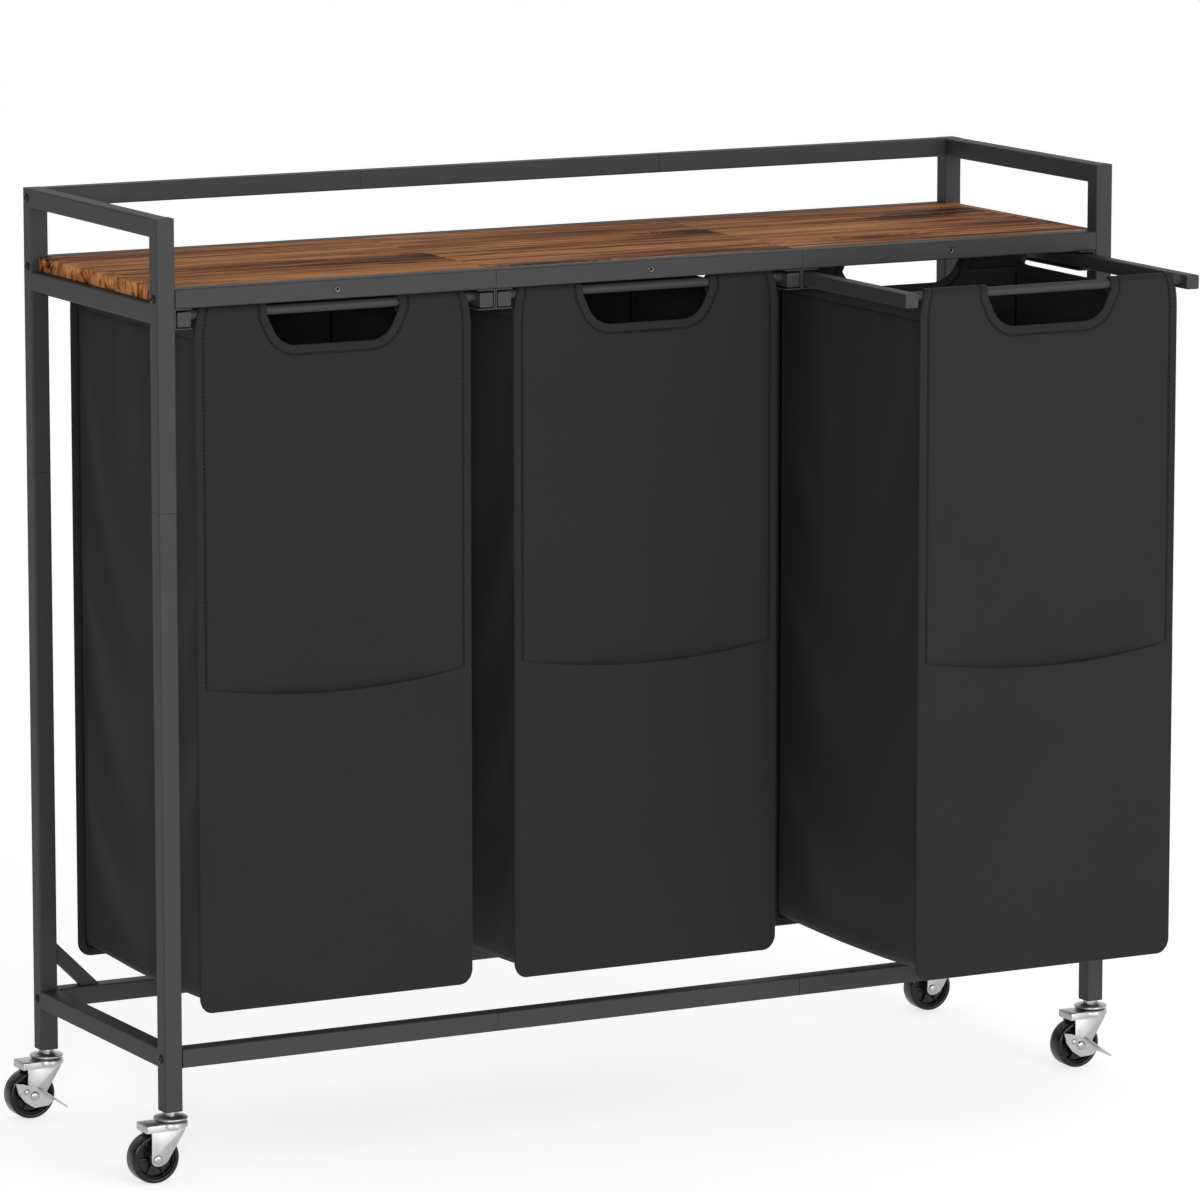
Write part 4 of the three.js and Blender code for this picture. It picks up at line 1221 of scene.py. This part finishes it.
def make_yoke(corner, size):
    axle = size["axle"] - size["swivel"]
    reach = size["fork_reach"] + 0.3 * MM
    top = size["fork_top"] - 1.2 * MM
    outer = LEG_GAP + SHEET
    bm = bmesh.new()
    foot = axle.z - FOOT_RADIUS
    outline = (
        (axle.x - FOOT_RADIUS + 1.0 * MM, top - 1.5 * MM), (axle.x - FOOT_RADIUS, foot),
        (axle.x + FOOT_RADIUS + 1.2 * MM, foot), (10.6 * MM, top - HOOD_DEPTH),
        (11.6 * MM, top - 1.5 * MM),
    )
    for side in (-1, 1):
        leg = [bm.verts.new((x, side * (outer - HOOD_LAP), z)) for x, z in outline]
        bm.faces.new(leg)
        round_off(bm, leg[1:3], FOOT_RADIUS * 0.98, 8, "VERTICES")
        plate = [f for f in bm.faces if len(f.verts) > 12 and f.calc_center_median().y * side > 0]
        drawn = bmesh.ops.extrude_face_region(bm, geom=plate)
        moved = [g for g in drawn["geom"] if isinstance(g, bmesh.types.BMVert)]
        bmesh.ops.translate(bm, verts=moved, vec=(0, -side * (SHEET - HOOD_LAP), 0))
    rims = [e for e in bm.edges if e.is_manifold and e.calc_face_angle(0) > math.radians(50)]
    round_off(bm, rims, 0.4 * MM, 2)
    face_outwards(bm)
    hood_low, hood_high = (reach, -outer, top - HOOD_DEPTH), (HOOD_FRONT, outer, top)
    fold_hood(bm, hood_low, hood_high, 1.5 * MM, SHEET * 0.8)
    head = bmesh.new()
    spin_profile(head, HEAD_PROFILE, UP, steps=40)
    face_outwards(head)
    bmesh.ops.translate(head, verts=head.verts[:], vec=(0, 0, size["fork_top"]))
    spun = bpy.data.meshes.new("head")
    head.to_mesh(spun)
    head.free()
    bm.from_mesh(spun)
    bpy.data.meshes.remove(spun)
    bmesh.ops.translate(bm, verts=bm.verts[:], vec=size["swivel"])
    piece = finish_piece(bm, f"caster_yoke_{corner}", zinc, f"swivel_{corner}", crease=35)
    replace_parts(piece, f"caster_fork_{corner}")

# %% [markdown]
# ### Wheel and axle
#
# The wheel is moulded in one piece: a flat tread with round shoulders, a deep dish on each side
# with a raised ring inside the rim, a hub, and ribs from hub to rim. The axle ends in a domed rivet
# head on each side of the yoke, or on the brake lever where there is one, and the lever carries a
# second, smaller rivet.

# %% Make the wheels and rivets
RIB_COUNT = 6


def make_wheel(corner, size):
    r, w = size["radius"] / MM, size["half_width"] / MM
    side = (
        (3.3, w), (6.6, w), (7.3, w - 0.4), (7.8, w - 6.4), (8.4, w - 6.9), (r - 8.3, w - 6.4),
        (r - 7.5, w - 5.8), (r - 6.9, w - 3.0), (r - 6.4, w - 2.4), (r - 5.4, w - 2.4),
        (r - 4.9, w - 1.8), (r - 4.5, w - 0.3), (r - 3.9, w), (r - 2.6, w),
        (r - 1.2, w - 0.5), (r - 0.3, w - 1.5),
        (r, w - 2.8), (r, 0.0),
    )
    profile = side + tuple((radius, -height) for radius, height in reversed(side[:-1]))
    profile += (profile[0],)
    bm = bmesh.new()
    spin_profile(bm, [(radius * MM, height * MM) for radius, height in profile], SIDEWAYS, 64)
    for face in (-1, 1):
        for index in range(RIB_COUNT):
            turn = Matrix.Rotation(math.tau * index / RIB_COUNT, 4, "Y")
            place = Matrix.Translation(((r - 12.1) * MM, face * (w - 5.2) * MM, 0))
            stretch = Matrix.Diagonal(((r - 12.9) * MM, 4.0 * MM, 1.5 * MM, 1.0))
            rib = bmesh.ops.create_cube(bm, size=1.0, matrix=turn @ place @ stretch)
            round_off(bm, list({e for v in rib["verts"] for e in v.link_edges}), 0.35 * MM, 2)
    bmesh.ops.translate(bm, verts=bm.verts[:], vec=size["axle"])
    face_outwards(bm)
    name = f"caster_moulded_wheel_{corner}"
    piece = finish_piece(bm, name, wheel_plastic, f"wheel_{corner}", crease=32)
    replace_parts(piece, f"caster_wheel_{corner}")


RIVET_HEAD = ((5.0, 0.0), (5.0, 0.3), (4.6, 1.0), (3.5, 1.6), (1.8, 2.0), (0.0, 2.1))
RIVET_SHANK, HEAD_SEAT = 3.0, 1.6
LEVER_RIVET = Vector((-9.0 * MM, 0, 5.0 * MM))


def make_axle(corner, size):
    """The shank and both heads; a lever under the front head makes the shank longer."""
    front, rear = size["axle_front"] / MM + HEAD_SEAT, size["axle_rear"] / MM - HEAD_SEAT
    profile = [(radius, front - height) for radius, height in reversed(RIVET_HEAD)]
    profile += [(RIVET_SHANK, front), (RIVET_SHANK, rear)]
    profile += [(radius, rear + height) for radius, height in RIVET_HEAD]
    bm = bmesh.new()
    spin_profile(bm, [(radius * MM, height * MM) for radius, height in profile], SIDEWAYS, 32)
    bmesh.ops.translate(bm, verts=bm.verts[:], vec=size["axle"])
    face_outwards(bm)
    name = f"caster_rivet_{corner}"
    piece = finish_piece(bm, name, zinc, f"swivel_{corner}", crease=50)
    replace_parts(piece, f"caster_axle_{corner}")
    print(name, "runs from", round(front, 1), "to", round(rear, 1))


def make_lever_rivet(corner, size):
    """A smaller domed rivet that holds the spring of the brake, on the face of its lever."""
    face = size["axle_front"] / MM + HEAD_SEAT + 0.1
    profile = [(0.66 * radius, face - 0.8 * height) for radius, height in reversed(RIVET_HEAD)]
    profile += [(0.0, face + 0.3)]
    bm = bmesh.new()
    spin_profile(bm, [(radius * MM, height * MM) for radius, height in profile], SIDEWAYS, 24)
    bmesh.ops.translate(bm, verts=bm.verts[:], vec=size["axle"] + LEVER_RIVET)
    face_outwards(bm)
    name = f"brake_rivet_{corner}"
    finish_piece(bm, name, zinc, f"brake_{corner}", crease=50)


for corner in CORNERS:
    size = measure_caster(corner)
    make_cup(corner, size)
    make_yoke(corner, size)
    make_wheel(corner, size)
    make_axle(corner, size)
    if f"caster_brake_{corner}" in frame["nodes"]:
        make_lever_rivet(corner, size)
    print("caster", corner, "made")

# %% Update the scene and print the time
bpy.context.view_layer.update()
print("made in", round(time.time() - started, 1), "s")
